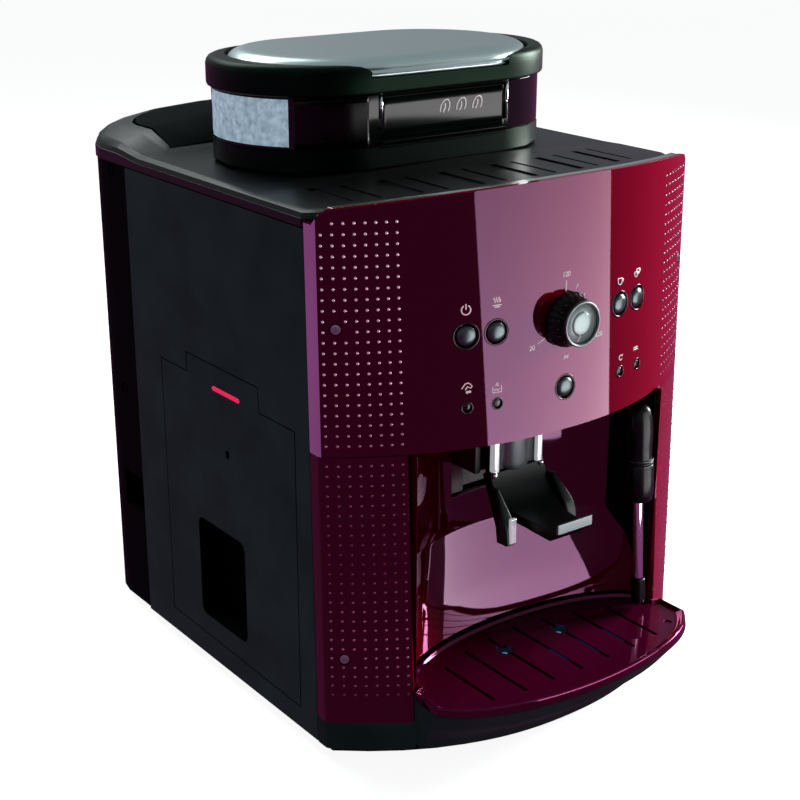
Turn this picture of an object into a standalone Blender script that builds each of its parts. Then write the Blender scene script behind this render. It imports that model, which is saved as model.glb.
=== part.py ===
"""Bean-to-cup espresso machine, built as separate solids in metres with +Z up.

The front faces -Y, the table is z = 0 and the origin is under the middle of the machine.
"""
import math

import bmesh
import bpy
from mathutils import Matrix, Vector

# ---------------------------------------------------------------- driving dimensions
GAP = 0.00035                 # clearance between neighbouring pieces
BODY_WIDTH = 0.245
HALF = BODY_WIDTH / 2
REAR_Y = 0.1623
REAR_CORNER = 0.0255
SKIN = 0.0025                 # moulded wall thickness
PANEL_SKIN = 0.003
PANEL_FLANGE = 0.0085         # depth of the front panel's side strips
PANEL_BOTTOM = 0.168
PANEL_TOP = 0.2954
PANEL_CROWN = 0.007
FOOT_HEIGHT = 0.0034
BODY_BOTTOM = 0.0066
SIDE_TOP = 0.2787
DECK_BOTTOM = 0.2791
TRIM_BACK = 0.0082            # rear edge of the bright strip, behind the fascia's front
BAY_HALF = 0.084              # half width of the cup bay
BAY_FRONT_Y = -0.1112
BAY_DEPTH_LOW = 0.0336
BAY_DEPTH_HIGH = 0.0505
BAY_CREASE = 0.093
TRAY_TOP = 0.0366
PLATE_TOP = 0.0392
LIP_TOP = 0.0414
HOPPER_CENTRE_Y = 0.0353
HOPPER_HALF_LENGTH = 0.1007
HOPPER_HALF_WIDTH = 0.0569
LID_BOTTOM = 0.3272
DIAL_HEIGHT = 0.2255
BUTTON_RADIUS = 0.0053
SPOUT_FRONT_Y = -0.0890
WAND_PIVOT = (0.0722, -0.1062, 0.1500)
WAND_LEAN = math.radians(4.0)
SIDE_FRONT_Y = -0.0722        # front edge of the side panels at the top
TANK_FRONT_Y = 0.0995
BIN_FLOOR = 0.0225

COLLECTION = "espresso_machine"

# turns that carry a flat outline's plane, or a turned shape's axis, into place
SIDE_VIEW = Matrix(((0, 0, 1), (1, 0, 0), (0, 1, 0)))
FRONT_VIEW = Matrix(((1, 0, 0), (0, 0, -1), (0, 1, 0)))
X_AXIS = Matrix(((0, 0, 1), (1, 0, 0), (0, 1, 0)))
Y_AXIS = Matrix(((1, 0, 0), (0, 0, 1), (0, -1, 0)))


# ---------------------------------------------------------------- scene and materials
def empty_scene():
    for obj in list(bpy.data.objects):
        bpy.data.objects.remove(obj, do_unlink=True)


def new_collection(name):
    collection = bpy.data.collections.new(name)
    bpy.context.scene.collection.children.link(collection)
    return collection


def make_material(name, colour, roughness, metallic=0.0):
    material = bpy.data.materials.new(name)
    material.use_nodes = True
    shader = material.node_tree.nodes["Principled BSDF"]
    shader.inputs["Base Color"].default_value = (*colour, 1.0)
    shader.inputs["Roughness"].default_value = roughness
    shader.inputs["Metallic"].default_value = metallic
    material.diffuse_color = (*colour, 1.0)
    return material


empty_scene()
PARTS = new_collection(COLLECTION)
CUTTERS = new_collection("cutters")

RED = make_material("gloss_red", (0.30, 0.004, 0.035), 0.12)
BLACK = make_material("satin_black", (0.012, 0.013, 0.015), 0.38)
GLOSS_BLACK = make_material("gloss_black", (0.008, 0.008, 0.010), 0.12)
DARK = make_material("inner_plastic", (0.05, 0.05, 0.055), 0.5)
GREY = make_material("grey_plastic", (0.42, 0.43, 0.43), 0.4)
SMOKE = make_material("smoked_plastic", (0.02, 0.02, 0.024), 0.08)
SILVER = make_material("satin_metal", (0.72, 0.73, 0.74), 0.28, 1.0)
CHROME = make_material("chrome", (0.86, 0.87, 0.88), 0.06, 1.0)
STEEL = make_material("steel", (0.50, 0.51, 0.53), 0.3, 1.0)
ALLOY = make_material("cast_alloy", (0.60, 0.61, 0.62), 0.45, 1.0)
BRASS = make_material("brass", (0.72, 0.52, 0.22), 0.3, 1.0)
RUBBER = make_material("rubber", (0.015, 0.015, 0.016), 0.8)
BOARD = make_material("circuit_board", (0.03, 0.16, 0.07), 0.45)
BLUE = make_material("float_blue", (0.03, 0.22, 0.55), 0.35)
SIGNAL = make_material("signal_red", (0.75, 0.03, 0.05), 0.35)
CLEAR = make_material("tank_plastic", (0.30, 0.33, 0.36), 0.15)


# ---------------------------------------------------------------- mesh building blocks
def mesh_object(name, bm, material, collection=PARTS):
    bmesh.ops.recalc_face_normals(bm, faces=bm.faces[:])
    mesh = bpy.data.meshes.new(name)
    bm.to_mesh(mesh)
    bm.free()
    obj = bpy.data.objects.new(name, mesh)
    collection.objects.link(obj)
    if material is not None:
        mesh.materials.append(material)
    return obj


def loft_mesh(rings):
    """Solid skinned through closed rings that all have the same number of points."""
    bm = bmesh.new()
    loops = [[bm.verts.new(point) for point in ring] for ring in rings]
    count = len(rings[0])
    for lower, upper in zip(loops, loops[1:]):
        for i in range(count):
            j = (i + 1) % count
            bm.faces.new((lower[i], lower[j], upper[j], upper[i]))
    bm.faces.new(list(reversed(loops[0])))
    bm.faces.new(loops[-1])
    return bm


def loft(name, rings, material, collection=PARTS):
    return mesh_object(name, loft_mesh(rings), material, collection)


def place_mesh(mesh, turn, centre):
    mesh.transform(Matrix.Translation(Vector(centre)) @ turn.to_4x4())


def evaluated_mesh(obj):
    """Mesh of an object with its curve settings or modifiers worked out; the object is removed."""
    bpy.context.view_layer.update()
    depsgraph = bpy.context.evaluated_depsgraph_get()
    mesh = bpy.data.meshes.new_from_object(obj.evaluated_get(depsgraph))
    bpy.data.objects.remove(obj, do_unlink=True)
    bm = bmesh.new()
    bm.from_mesh(mesh)
    bmesh.ops.remove_doubles(bm, verts=bm.verts[:], dist=1e-6)
    bmesh.ops.recalc_face_normals(bm, faces=bm.faces[:])
    bm.to_mesh(mesh)
    bm.free()
    return mesh


def merge_flat_faces(mesh, belongs):
    """Join the triangles of a flat end into one face."""
    bm = bmesh.new()
    bm.from_mesh(mesh)
    caps = [face for face in bm.faces if belongs(face)]
    bmesh.ops.dissolve_faces(bm, faces=caps, use_verts=False)
    bm.to_mesh(mesh)
    bm.free()
    return mesh


def on_plate_face(face):
    return abs(face.normal.z) > 0.5


def on_turned_end(face):
    heights = [vertex.co.z for vertex in face.verts]
    nearest = min(math.hypot(vertex.co.x, vertex.co.y) for vertex in face.verts)
    return nearest < 1e-6 and max(heights) - min(heights) < 1e-6


def mesh_holder(name, mesh, material, collection):
    obj = bpy.data.objects.new(name, mesh)
    collection.objects.link(obj)
    if material is not None:
        mesh.materials.append(material)
    return obj


def flat_shape(name, outline, thickness):
    """Filled 2D curve thickened to a plate that is centred on its own plane."""
    curve = bpy.data.curves.new(name, "CURVE")
    curve.dimensions = "2D"
    curve.fill_mode = "BOTH"
    curve.extrude = thickness / 2
    spline = curve.splines.new("POLY")
    spline.points.add(len(outline) - 1)
    for point, (across, up) in zip(spline.points, outline):
        point.co = (across, up, 0, 1)
    spline.use_cyclic_u = True
    holder = bpy.data.objects.new(name, curve)
    CUTTERS.objects.link(holder)
    return merge_flat_faces(evaluated_mesh(holder), on_plate_face)


def prism(name, outline, z0, z1, material=None, collection=PARTS):
    """Outline in plan (x, y), extruded from z0 to z1."""
    mesh = flat_shape(name, outline, z1 - z0)
    place_mesh(mesh, Matrix.Identity(3), (0, 0, (z0 + z1) / 2))
    return mesh_holder(name, mesh, material, collection)


def prism_along_x(name, outline, x0, x1, material=None, collection=PARTS):
    """Outline in side view (y, z), extruded from x0 to x1."""
    mesh = flat_shape(name, outline, x1 - x0)
    place_mesh(mesh, SIDE_VIEW, ((x0 + x1) / 2, 0, 0))
    return mesh_holder(name, mesh, material, collection)


def prism_along_y(name, outline, y0, y1, material=None, collection=PARTS):
    """Outline in front view (x, z), extruded from y0 to y1."""
    mesh = flat_shape(name, outline, y1 - y0)
    place_mesh(mesh, FRONT_VIEW, (0, (y0 + y1) / 2, 0))
    return mesh_holder(name, mesh, material, collection)


def box(name, low, high, material=None, collection=PARTS):
    low, high = Vector(low), Vector(high)
    bm = bmesh.new()
    bmesh.ops.create_cube(bm, size=1.0)
    bmesh.ops.scale(bm, vec=high - low, verts=bm.verts[:])
    bmesh.ops.translate(bm, vec=(low + high) / 2, verts=bm.verts[:])
    return mesh_object(name, bm, material, collection)


def rod(name, start, end, radius, material=None, sides=32, end_radius=None, collection=PARTS):
    """Round bar or cone between two points."""
    start, end = Vector(start), Vector(end)
    axis = end - start
    bm = bmesh.new()
    bmesh.ops.create_cone(bm, cap_ends=True, segments=sides, radius1=radius,
                          radius2=radius if end_radius is None else end_radius, depth=axis.length)
    turn = axis.to_track_quat("Z", "Y").to_matrix().to_4x4()
    bmesh.ops.transform(bm, matrix=turn, verts=bm.verts[:])
    bmesh.ops.translate(bm, vec=(start + end) / 2, verts=bm.verts[:])
    return mesh_object(name, bm, material, collection)


def lathe(name, profile, centre, axis="z", material=None, sides=40, hollow=False):
    """Turned shape; profile is (radius, distance along the axis), closed on itself if hollow."""
    outline = list(profile)
    if not hollow:
        outline = [(0.0, outline[0][1])] + outline + [(0.0, outline[-1][1])]
    rising = outline[-1][1] > outline[0][1]
    if rising:
        outline.reverse()
    edges = [(i, i + 1) for i in range(len(outline) - 1)]
    if hollow:
        edges.append((len(outline) - 1, 0))
    mesh = bpy.data.meshes.new(name)
    mesh.from_pydata([(radius, 0, along) for radius, along in outline], edges, [])
    holder = bpy.data.objects.new(name, mesh)
    CUTTERS.objects.link(holder)
    screw_modifier = holder.modifiers.new("turned", "SCREW")
    screw_modifier.steps = sides
    screw_modifier.render_steps = sides
    screw_modifier.use_merge_vertices = True
    screw_modifier.merge_threshold = 1e-6
    solid = merge_flat_faces(evaluated_mesh(holder), on_turned_end)
    place_mesh(solid, {"x": X_AXIS, "y": Y_AXIS, "z": Matrix.Identity(3)}[axis], centre)
    return mesh_holder(name, solid, material, PARTS)


def boolean(target, tool, operation):
    bpy.context.view_layer.update()
    modifier = target.modifiers.new("shape", "BOOLEAN")
    modifier.object = tool
    modifier.operation = operation
    modifier.solver = "EXACT"
    depsgraph = bpy.context.evaluated_depsgraph_get()
    mesh = bpy.data.meshes.new_from_object(target.evaluated_get(depsgraph))
    target.modifiers.clear()
    target.data = mesh
    bpy.data.objects.remove(tool, do_unlink=True)
    return target


def cut(target, *tools):
    for tool in tools:
        boolean(target, tool, "DIFFERENCE")
    return target


def add(target, *tools):
    for tool in tools:
        boolean(target, tool, "UNION")
    return target


def keep_inside(target, tool):
    return boolean(target, tool, "INTERSECT")


def tidy(obj, smooth=False):
    """Weld coincident points after the cuts and shade round pieces smooth."""
    bm = bmesh.new()
    bm.from_mesh(obj.data)
    bmesh.ops.remove_doubles(bm, verts=bm.verts[:], dist=1e-6)
    bmesh.ops.dissolve_degenerate(bm, edges=bm.edges[:], dist=1e-6)
    bm.to_mesh(obj.data)
    bm.free()
    if smooth:
        for polygon in obj.data.polygons:
            polygon.use_smooth = True
    return obj


def soften(obj, width, segments=2, angle=50.0):
    modifier = obj.modifiers.new("edges", "BEVEL")
    modifier.width = width
    modifier.segments = segments
    modifier.limit_method = "ANGLE"
    modifier.angle_limit = math.radians(angle)
    return obj


def apply_modifiers(obj):
    bpy.context.view_layer.update()
    depsgraph = bpy.context.evaluated_depsgraph_get()
    mesh = bpy.data.meshes.new_from_object(obj.evaluated_get(depsgraph))
    obj.modifiers.clear()
    obj.data = mesh
    return obj


def set_origin(obj, point):
    """Move an object's origin to a point on its joint axis, leaving the shape in place."""
    point = Vector(point)
    for vertex in obj.data.vertices:
        vertex.co -= point
    obj.location = point
    return obj


def tilt_about(obj, pivot, angle):
    """Turn a shape about the X axis through a pivot."""
    pivot = Vector(pivot)
    cosine, sine = math.cos(angle), math.sin(angle)
    for vertex in obj.data.vertices:
        offset = vertex.co - pivot
        vertex.co = pivot + Vector((offset.x, offset.y * cosine - offset.z * sine,
                                    offset.y * sine + offset.z * cosine))
    return obj


# ---------------------------------------------------------------- body outlines
def front_edge_y(z):
    """Front corner line of the body; it leans back slightly towards the top."""
    return -0.08335 + 0.0168 * (z - 0.2)


def front_bulge(z):
    return 0.0388 - 0.0481 * (z - 0.22)


def front_y(x, z):
    """Front surface of the red fascia, bowed out in plan."""
    return front_edge_y(z) - front_bulge(z) * (1 - abs(x / HALF) ** 2.26)


def front_slope(x, z):
    """Angle of the fascia surface in plan at x."""
    step = 1e-4
    return math.atan((front_y(x + step, z) - front_y(x - step, z)) / (2 * step))


def panel_top(x):
    return PANEL_TOP - PANEL_CROWN * (x / HALF) ** 2


def spread(low, high, count):
    return [low + (high - low) * i / (count - 1) for i in range(count)]


def arc(centre, radius, start, end, count=7):
    """Points on a circular arc, angles in degrees."""
    points = []
    for angle in spread(math.radians(start), math.radians(end), count):
        points.append((centre[0] + radius * math.cos(angle), centre[1] + radius * math.sin(angle)))
    return points


def rounded_box_outline(x0, y0, x1, y1, radius, count=4):
    corners = [((x1 - radius, y1 - radius), 0), ((x0 + radius, y1 - radius), 90),
               ((x0 + radius, y0 + radius), 180), ((x1 - radius, y0 + radius), 270)]
    outline = []
    for centre, start in corners:
        outline += arc(centre, radius, start, start + 90, count)
    return outline


def stadium(inset, count=9, shorter=0.0):
    """Plan of the bean hopper, inset from its widest outline and drawn in at both ends."""
    radius = HOPPER_HALF_WIDTH - inset
    reach = HOPPER_HALF_LENGTH - HOPPER_HALF_WIDTH - shorter
    right = arc((reach, HOPPER_CENTRE_Y), radius, -90, 90, count)
    left = arc((-reach, HOPPER_CENTRE_Y), radius, 90, 270, count)
    return right + left


def bay_y(x, depth, half=BAY_HALF):
    """Concave back wall of the cup bay."""
    return BAY_FRONT_Y + depth * math.sqrt(max(0.0, 1 - (x / half) ** 2))


def body_rear(inset, side_y, count=5):
    """Rear of the body in plan, from the right side round to the left."""
    x_side = HALF - 0.0015 - inset
    radius = REAR_CORNER - inset
    y_back = REAR_Y - inset
    right = arc((x_side - radius, y_back - radius), radius, 0, 90, count)
    left = arc((-x_side + radius, y_back - radius), radius, 90, 180, count)
    return [(x_side, side_y)] + right + left + [(-x_side, side_y)]


# ---------------------------------------------------------------- base and body skins
def build_base():
    front = [(x, front_y(x, 0.004) + 0.004) for x in spread(-0.119, 0.119, 17)]
    base = prism("base_pan", front + body_rear(SKIN + 0.0004, front_edge_y(0) + 0.012),
                 FOOT_HEIGHT, 0.018, BLACK)
    hollow_front = [(x, front_y(x, 0.004) + 0.0065) for x in spread(-0.1135, 0.1135, 17)]
    hollow = prism("hollow", hollow_front + body_rear(SKIN + 0.0029, front_edge_y(0) + 0.012),
                   0.0062, 0.03, collection=CUTTERS)
    tray_gate = box("gate", (-0.0884, -0.15, 0.0062), (0.0884, -0.06, 0.03), collection=CUTTERS)
    cut(base, hollow, tray_gate)
    for x, y in FEET.values():
        cut(base, rod("socket", (x, y, 0.0), (x, y, 0.0048), 0.0046, sides=14,
                      collection=CUTTERS))
    return tidy(base)


FEET = {
    "front_left_foot": (-0.095, -0.075),
    "front_right_foot": (0.095, -0.075),
    "rear_left_foot": (-0.095, 0.125),
    "rear_right_foot": (0.095, 0.125),
}


def build_feet():
    for name, (x, y) in FEET.items():
        lathe(name, [(0.0095, 0), (0.0095, FOOT_HEIGHT - GAP), (0.0041, FOOT_HEIGHT - GAP),
                     (0.0041, 0.0043)], (x, y, 0), material=RUBBER, sides=14)


def side_outline(inset=0.0):
    """Side panel in side view (y, z), following the lean of the fascia's strip."""
    front_top = front_edge_y(SIDE_TOP) + PANEL_FLANGE + GAP
    front_low = front_edge_y(BODY_BOTTOM) + PANEL_FLANGE + GAP
    return [(front_low, BODY_BOTTOM), (0.1065, BODY_BOTTOM), (0.1065, SIDE_TOP),
            (front_top, SIDE_TOP)]


DOOR_OUTLINE = [(0.0750, 0.0210), (0.0750, 0.1770), (0.0460, 0.1770), (0.0460, 0.1880),
                (-0.0280, 0.1880), (-0.0290, 0.1745), (-0.0620, 0.1745), (-0.0620, 0.0190)]


def build_left_panel():
    panel = prism_along_x("left_side_panel", side_outline(), -HALF, -HALF + SKIN, BLACK)
    opening = prism_along_x("opening", DOOR_OUTLINE, -0.13, -0.11, collection=CUTTERS)
    return tidy(cut(panel, opening))


def build_right_panel():
    panel = prism_along_x("right_side_panel", side_outline(), HALF - SKIN, HALF, BLACK)
    for i in range(9):
        y = 0.000 + i * 0.0095
        slot = box("vent", (0.11, y, 0.175), (0.13, y + 0.0028, 0.235), collection=CUTTERS)
        cut(panel, slot)
    return tidy(panel)


def build_rear_cover():
    outer = body_rear(0.0, 0.1069)
    inner = body_rear(SKIN, 0.1069)
    outline = outer + list(reversed(inner))
    cover = prism("rear_cover", outline, BODY_BOTTOM, SIDE_TOP, BLACK)
    for row in range(2):
        for i in range(10):
            x = -0.052 + i * 0.0115
            low = 0.055 + row * 0.045
            cut(cover, box("vent", (x, 0.15, low), (x + 0.0028, 0.17, low + 0.036),
                           collection=CUTTERS))
    # carrying recess low on the left rear corner
    add(cover, box("recess_cup", (-0.1195, 0.1072, 0.0660), (-0.1078, 0.1345, 0.0925),
                   collection=CUTTERS))
    cut(cover, box("recess", (-0.13, 0.1090, 0.0680), (-0.1098, 0.1328, 0.0905),
                   collection=CUTTERS))
    for side in (-1, 1):
        for z in (0.2745, 0.1440):
            x = side * (HALF - 0.0015)
            cut(cover, rod("screw_seat", (x + side * 0.002, 0.1262, z), (x - side * 0.0009, 0.1262, z),
                           0.0036, sides=14, collection=CUTTERS))
            add(cover, rod("screw_head", (x - side * 0.0012, 0.1262, z), (x - side * 0.0001, 0.1262, z),
                           0.0030, sides=12, end_radius=0.0022, collection=CUTTERS))
    cut(cover, rod("cord_hole", (-0.085, 0.15, 0.030), (-0.085, 0.17, 0.030), 0.0078,
                   sides=28, collection=CUTTERS))
    return tidy(cover)


def build_cord_gland():
    gland = lathe("cord_gland", [(0.0095, REAR_Y + GAP), (0.0095, REAR_Y + 0.0006),
                                 (0.0090, REAR_Y + 0.0008), (0.0050, REAR_Y + 0.0008),
                                 (0.0050, REAR_Y - 0.0052), (0.0074, REAR_Y - 0.0052),
                                 (0.0074, REAR_Y + GAP)],
                  (-0.085, 0.0, 0.030), "y", RUBBER, sides=20, hollow=True)
    return gland


# ---------------------------------------------------------------- top deck
def deck_height(x, y):
    """Top surface of the deck: crowned in front of the hopper, flat under it, raised at the rear."""
    across = (x / HALF) ** 2
    front = min(1.0, max(0.0, (-0.024 - y) / 0.012))
    rear = min(1.0, max(0.0, (y - 0.094) / 0.024))
    height = 0.2882 - 0.0015 * across
    height += front * 0.0045 * (1 - across)
    height += rear * (0.0141 - 0.0124 * across ** 2)
    return height


def deck_outline(inset):
    front = [(x, front_y(x, 0.29) + TRIM_BACK + GAP + inset)
             for x in spread(-0.1150 + inset, 0.1150 - inset, 11)]
    return front + body_rear(inset - 0.0008, -0.0700 + inset)


def follow_deck(obj, base_top):
    """Bend every point above the deck's skirt to the deck surface."""
    bm = bmesh.new()
    bm.from_mesh(obj.data)
    for x in spread(-0.105, 0.105, 8):
        bmesh.ops.bisect_plane(bm, geom=bm.verts[:] + bm.edges[:] + bm.faces[:],
                               plane_co=(x, 0, 0), plane_no=(1, 0, 0))
    for y in (-0.036, -0.024, 0.094, 0.118):
        bmesh.ops.bisect_plane(bm, geom=bm.verts[:] + bm.edges[:] + bm.faces[:],
                               plane_co=(0, y, 0), plane_no=(0, 1, 0))
    for vertex in bm.verts:
        share = min(1.0, max(0.0, (vertex.co.z - DECK_BOTTOM - 0.0003) / 0.002))
        vertex.co.z += share * (deck_height(vertex.co.x, vertex.co.y) - base_top)
    bm.to_mesh(obj.data)
    bm.free()
    return obj


def build_deck():
    top = 0.2885
    deck = prism("top_deck", deck_outline(0.0), DECK_BOTTOM, top, BLACK)
    rounding = deck.modifiers.new("edges", "BEVEL")
    rounding.width = 0.0055
    rounding.segments = 2
    rounding.limit_method = "ANGLE"
    rounding.angle_limit = math.radians(60)
    apply_modifiers(deck)
    slicer = box("slicer", (-0.2, -0.2, DECK_BOTTOM + 0.0056), (0.2, 0.2, 0.4), collection=CUTTERS)
    upper = keep_inside(deck, slicer)
    skirt = prism("skirt", deck_outline(0.0), DECK_BOTTOM, DECK_BOTTOM + 0.0057, None, CUTTERS)
    deck = add(upper, skirt)
    hollow = prism("hollow", deck_outline(0.0032), DECK_BOTTOM - 0.01, top - 0.0028,
                   collection=CUTTERS)
    cut(deck, hollow)
    follow_deck(deck, top)
    tank_opening = prism("tank_opening", tank_lid_outline(-GAP * 1.5), 0.26, 0.32,
                         collection=CUTTERS)
    cut(deck, tank_opening)
    throat = rod("throat", (0, HOPPER_CENTRE_Y, 0.26), (0, HOPPER_CENTRE_Y, 0.31), 0.0194,
                 sides=32, collection=CUTTERS)
    cut(deck, throat)
    for i in range(6):
        for x, half_groove in ((-0.0965 + i * 0.0325, 0.0024), (-0.0830 + i * 0.0325, 0.0012)):
            start = front_y(x, 0.29) + 0.0215
            rear = start + 0.0350
            floor = deck_height(x, start) - 0.0011
            cut(deck, box("groove", (x - half_groove, start, floor), (x + half_groove, rear, 0.31),
                          collection=CUTTERS))
    return tidy(deck)


def tank_lid_outline(inset):
    radius = 0.020
    x_side = 0.098 - inset
    y_back = 0.1560 - inset
    y_front = TANK_FRONT_Y - 0.0025 + inset
    right = arc((x_side - radius, y_back - radius), radius, 0, 90, 5)
    left = arc((-x_side + radius, y_back - radius), radius, 90, 180, 5)
    return [(-x_side, y_front), (x_side, y_front)] + right + left


def build_deck_trim():
    """Bright strip between the deck and the fascia."""
    front = [(x, front_y(x, 0.29) + PANEL_SKIN + GAP) for x in spread(-0.1130, 0.1130, 15)]
    back = [(x, front_y(x, 0.29) + TRIM_BACK) for x in spread(0.1130, -0.1130, 15)]
    low = [(x, y, DECK_BOTTOM + 0.0020) for x, y in front + back]
    high = [(x, y, panel_top(x) - 0.0002) for x, y in front + back]
    return tidy(loft("deck_trim", [low, high], SILVER))


# ---------------------------------------------------------------- fascia
def panel_rings(levels, top):
    """Channel-shaped plan of the fascia at several heights."""
    rings = []
    columns = spread(-HALF, HALF, 23)
    inner_columns = spread(HALF - PANEL_SKIN, -HALF + PANEL_SKIN, 17)
    for level in levels:
        ring = []
        for x in columns:
            z = PANEL_BOTTOM + level * (top(x) - PANEL_BOTTOM)
            ring.append((x, front_y(x, z), z))
        for x in (HALF, HALF - PANEL_SKIN):
            z = PANEL_BOTTOM + level * (top(HALF) - PANEL_BOTTOM)
            ring.append((x, front_edge_y(z) + PANEL_FLANGE, z))
        for x in inner_columns:
            z = PANEL_BOTTOM + level * (top(x) - PANEL_BOTTOM)
            ring.append((x, front_y(x, z) + PANEL_SKIN, z))
        for x in (-HALF + PANEL_SKIN, -HALF):
            z = PANEL_BOTTOM + level * (top(HALF) - PANEL_BOTTOM)
            ring.append((x, front_edge_y(z) + PANEL_FLANGE, z))
        rings.append(ring)
    return rings


def surface_hole(x, z, radius, sides=16):
    """Round cutter square to the fascia at (x, z)."""
    y = front_y(x, z)
    angle = front_slope(x, z)
    inward = Vector((-math.sin(angle), math.cos(angle), 0))
    middle = Vector((x, y, z))
    return rod("hole", middle - inward * 0.01, middle + inward * 0.02, radius, sides=sides,
               collection=CUTTERS)


BUTTONS = {
    "power_button": (-0.0576, 0.2250),
    "steam_button": (-0.0416, 0.2250),
    "one_cup_button": (0.0416, 0.2250),
    "two_cup_button": (0.0576, 0.2250),
    "program_button": (0.0, 0.1900),
}
INDICATORS = [(-0.0576, 0.1890), (-0.0416, 0.1890), (0.0416, 0.1890), (0.0576, 0.1890)]


def build_control_panel():
    rings = panel_rings([0.0, 0.5, 1.0], panel_top)
    panel = loft("control_panel", rings, RED)
    for x, z in BUTTONS.values():
        cut(panel, surface_hole(x, z, BUTTON_RADIUS + 0.0005))
    for x, z in INDICATORS:
        cut(panel, surface_hole(x, z, 0.0027, 12))
    cut(panel, surface_hole(0.0, DIAL_HEIGHT, 0.0046))
    return tidy(panel)


def build_column(side):
    """Red column beside the cup bay; side is -1 for left and +1 for right."""
    rings = []
    inner_x = BAY_HALF + 0.0008
    for z in (BODY_BOTTOM, 0.05, 0.10, PANEL_BOTTOM - GAP):
        outer_front = [(side * x, front_y(x, z), z) for x in spread(inner_x, HALF, 8)]
        flange_y = front_edge_y(z) + PANEL_FLANGE
        ring = outer_front + [(side * HALF, flange_y, z), (side * (HALF - PANEL_SKIN), flange_y, z)]
        ring += [(side * x, front_y(x, z) + PANEL_SKIN, z)
                 for x in spread(HALF - PANEL_SKIN, inner_x + 0.0030, 6)]
        ring += [(side * (inner_x + 0.0030), -0.0840, z), (side * inner_x, -0.0840, z)]
        rings.append(ring)
    name = "left_column" if side < 0 else "right_column"
    return tidy(loft(name, rings, RED))


def build_bay_liner():
    """Glossy concave wall behind the cups; its foot leans forward to the drip tray."""
    end = 0.0835
    angles = spread(math.pi, 0, 23)
    rings = []
    for z, depth in ((TRAY_TOP + 0.0056, BAY_DEPTH_LOW), (0.060, 0.0385), (0.078, 0.0452),
                     (BAY_CREASE, BAY_DEPTH_HIGH), (PANEL_BOTTOM - 0.0004, BAY_DEPTH_HIGH)):
        front = [(end * math.cos(a), BAY_FRONT_Y + depth * math.sin(a), z) for a in angles]
        back = [((end - 0.0) * math.cos(a), BAY_FRONT_Y + (depth + 0.0026) * math.sin(a) + 0.0002, z)
                for a in reversed(angles)]
        back = [((end + 0.0004) * math.cos(a), BAY_FRONT_Y + 0.0 + (depth + 0.0028) * math.sin(a), z)
                for a in reversed(angles)][1:-1]
        rings.append(front + back)
    liner = loft("bay_liner", rings, RED)
    slot = box("outlet_slot", (-0.0235, -0.0640, 0.1130), (0.0235, -0.0450, 0.1800),
               collection=CUTTERS)
    cut(liner, slot)
    return tidy(liner)


def build_steam_pocket():
    """Black strip that frames the steam wand at the right end of the bay."""
    angles = spread(math.radians(31), math.radians(4), 6)
    rings = []
    for z, depth in ((TRAY_TOP + 0.0056, BAY_DEPTH_LOW), (0.060, 0.0385), (0.078, 0.0452),
                     (BAY_CREASE, BAY_DEPTH_HIGH), (PANEL_BOTTOM - 0.0006, BAY_DEPTH_HIGH)):
        width = 12 if z < 0.07 else (20 if z < 0.09 else 31)
        angles = spread(math.radians(width), math.radians(3), 6)
        back = [((0.0835 - 0.0004) * math.cos(a), BAY_FRONT_Y + (depth - 0.0004) * math.sin(a), z)
                for a in angles]
        front = [((0.0835 - 0.0019) * math.cos(a), BAY_FRONT_Y + (depth - 0.0019) * math.sin(a), z)
                 for a in reversed(angles)]
        rings.append(back + front)
    return tidy(loft("steam_pocket", rings, GLOSS_BLACK))


def screw(seat, outward):
    """Low domed screw head with a hexagon socket, sitting just off the surface."""
    start = seat + outward * GAP
    head = rod("head", start, start + outward * 0.0010, 0.0030, sides=12, end_radius=0.0021)
    socket = rod("socket", start + outward * 0.0004, start + outward * 0.003, 0.0012, sides=6,
                 collection=CUTTERS)
    return cut(head, socket)


SCREWS = {
    "upper_left_screw": (-0.1147, 0.2320),
    "lower_left_screw": (-0.1147, 0.0585),
    "upper_right_screw": (0.1147, 0.2320),
    "lower_right_screw": (0.1147, 0.0585),
}


def build_screws():
    for name, (x, z) in SCREWS.items():
        angle = front_slope(x, z)
        outward = Vector((math.sin(angle), -math.cos(angle), 0))
        head = screw(Vector((x, front_y(x, z), z)), outward)
        head.name = name
        head.data.name = name
        head.data.materials.clear()
        head.data.materials.append(STEEL)


# ---------------------------------------------------------------- controls
def along_normal(x, z, distances, radii, sides=16):
    """Stack of rings along the fascia normal; negative distances stand proud."""
    angle = front_slope(x, z)
    inward = Vector((-math.sin(angle), math.cos(angle), 0))
    across = Vector((math.cos(angle), math.sin(angle), 0))
    middle = Vector((x, front_y(x, z), z))
    rings = []
    for distance, radius in zip(distances, radii):
        ring = []
        for i in range(sides):
            turn = 2 * math.pi * i / sides
            ring.append(middle + inward * distance + across * radius * math.cos(turn)
                        + Vector((0, 0, radius * math.sin(turn))))
        rings.append(ring)
    return rings


def build_button(name, x, z):
    r = BUTTON_RADIUS
    distances = [-0.0016, -0.0009, 0.0036, 0.0036, 0.0058]
    radii = [r * 0.8, r, r, 0.0028, 0.0028]
    button = loft(name, along_normal(x, z, distances, radii), CHROME)
    tidy(button, smooth=False)
    return set_origin(button, (x, front_y(x, z), z))


def build_light_guide():
    """Four small lenses on one clear bar behind the fascia."""
    bar_y = -0.1086
    bar = box("light_guide", (-0.0600, bar_y, 0.1806), (0.0600, bar_y + 0.0014, 0.1902), SMOKE)
    cut(bar, box("notch", (-0.0042, bar_y - 0.001, 0.1855), (0.0042, bar_y + 0.002, 0.2),
                 collection=CUTTERS))
    for x, z in INDICATORS:
        depth = (bar_y + 0.0008 - front_y(x, z)) / math.cos(front_slope(x, z))
        lens = loft("lens", along_normal(x, z, [0.0001, 0.0004, depth],
                                         [0.0014, 0.0022, 0.0012], 12), None, CUTTERS)
        add(bar, lens)
    return tidy(bar)


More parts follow.
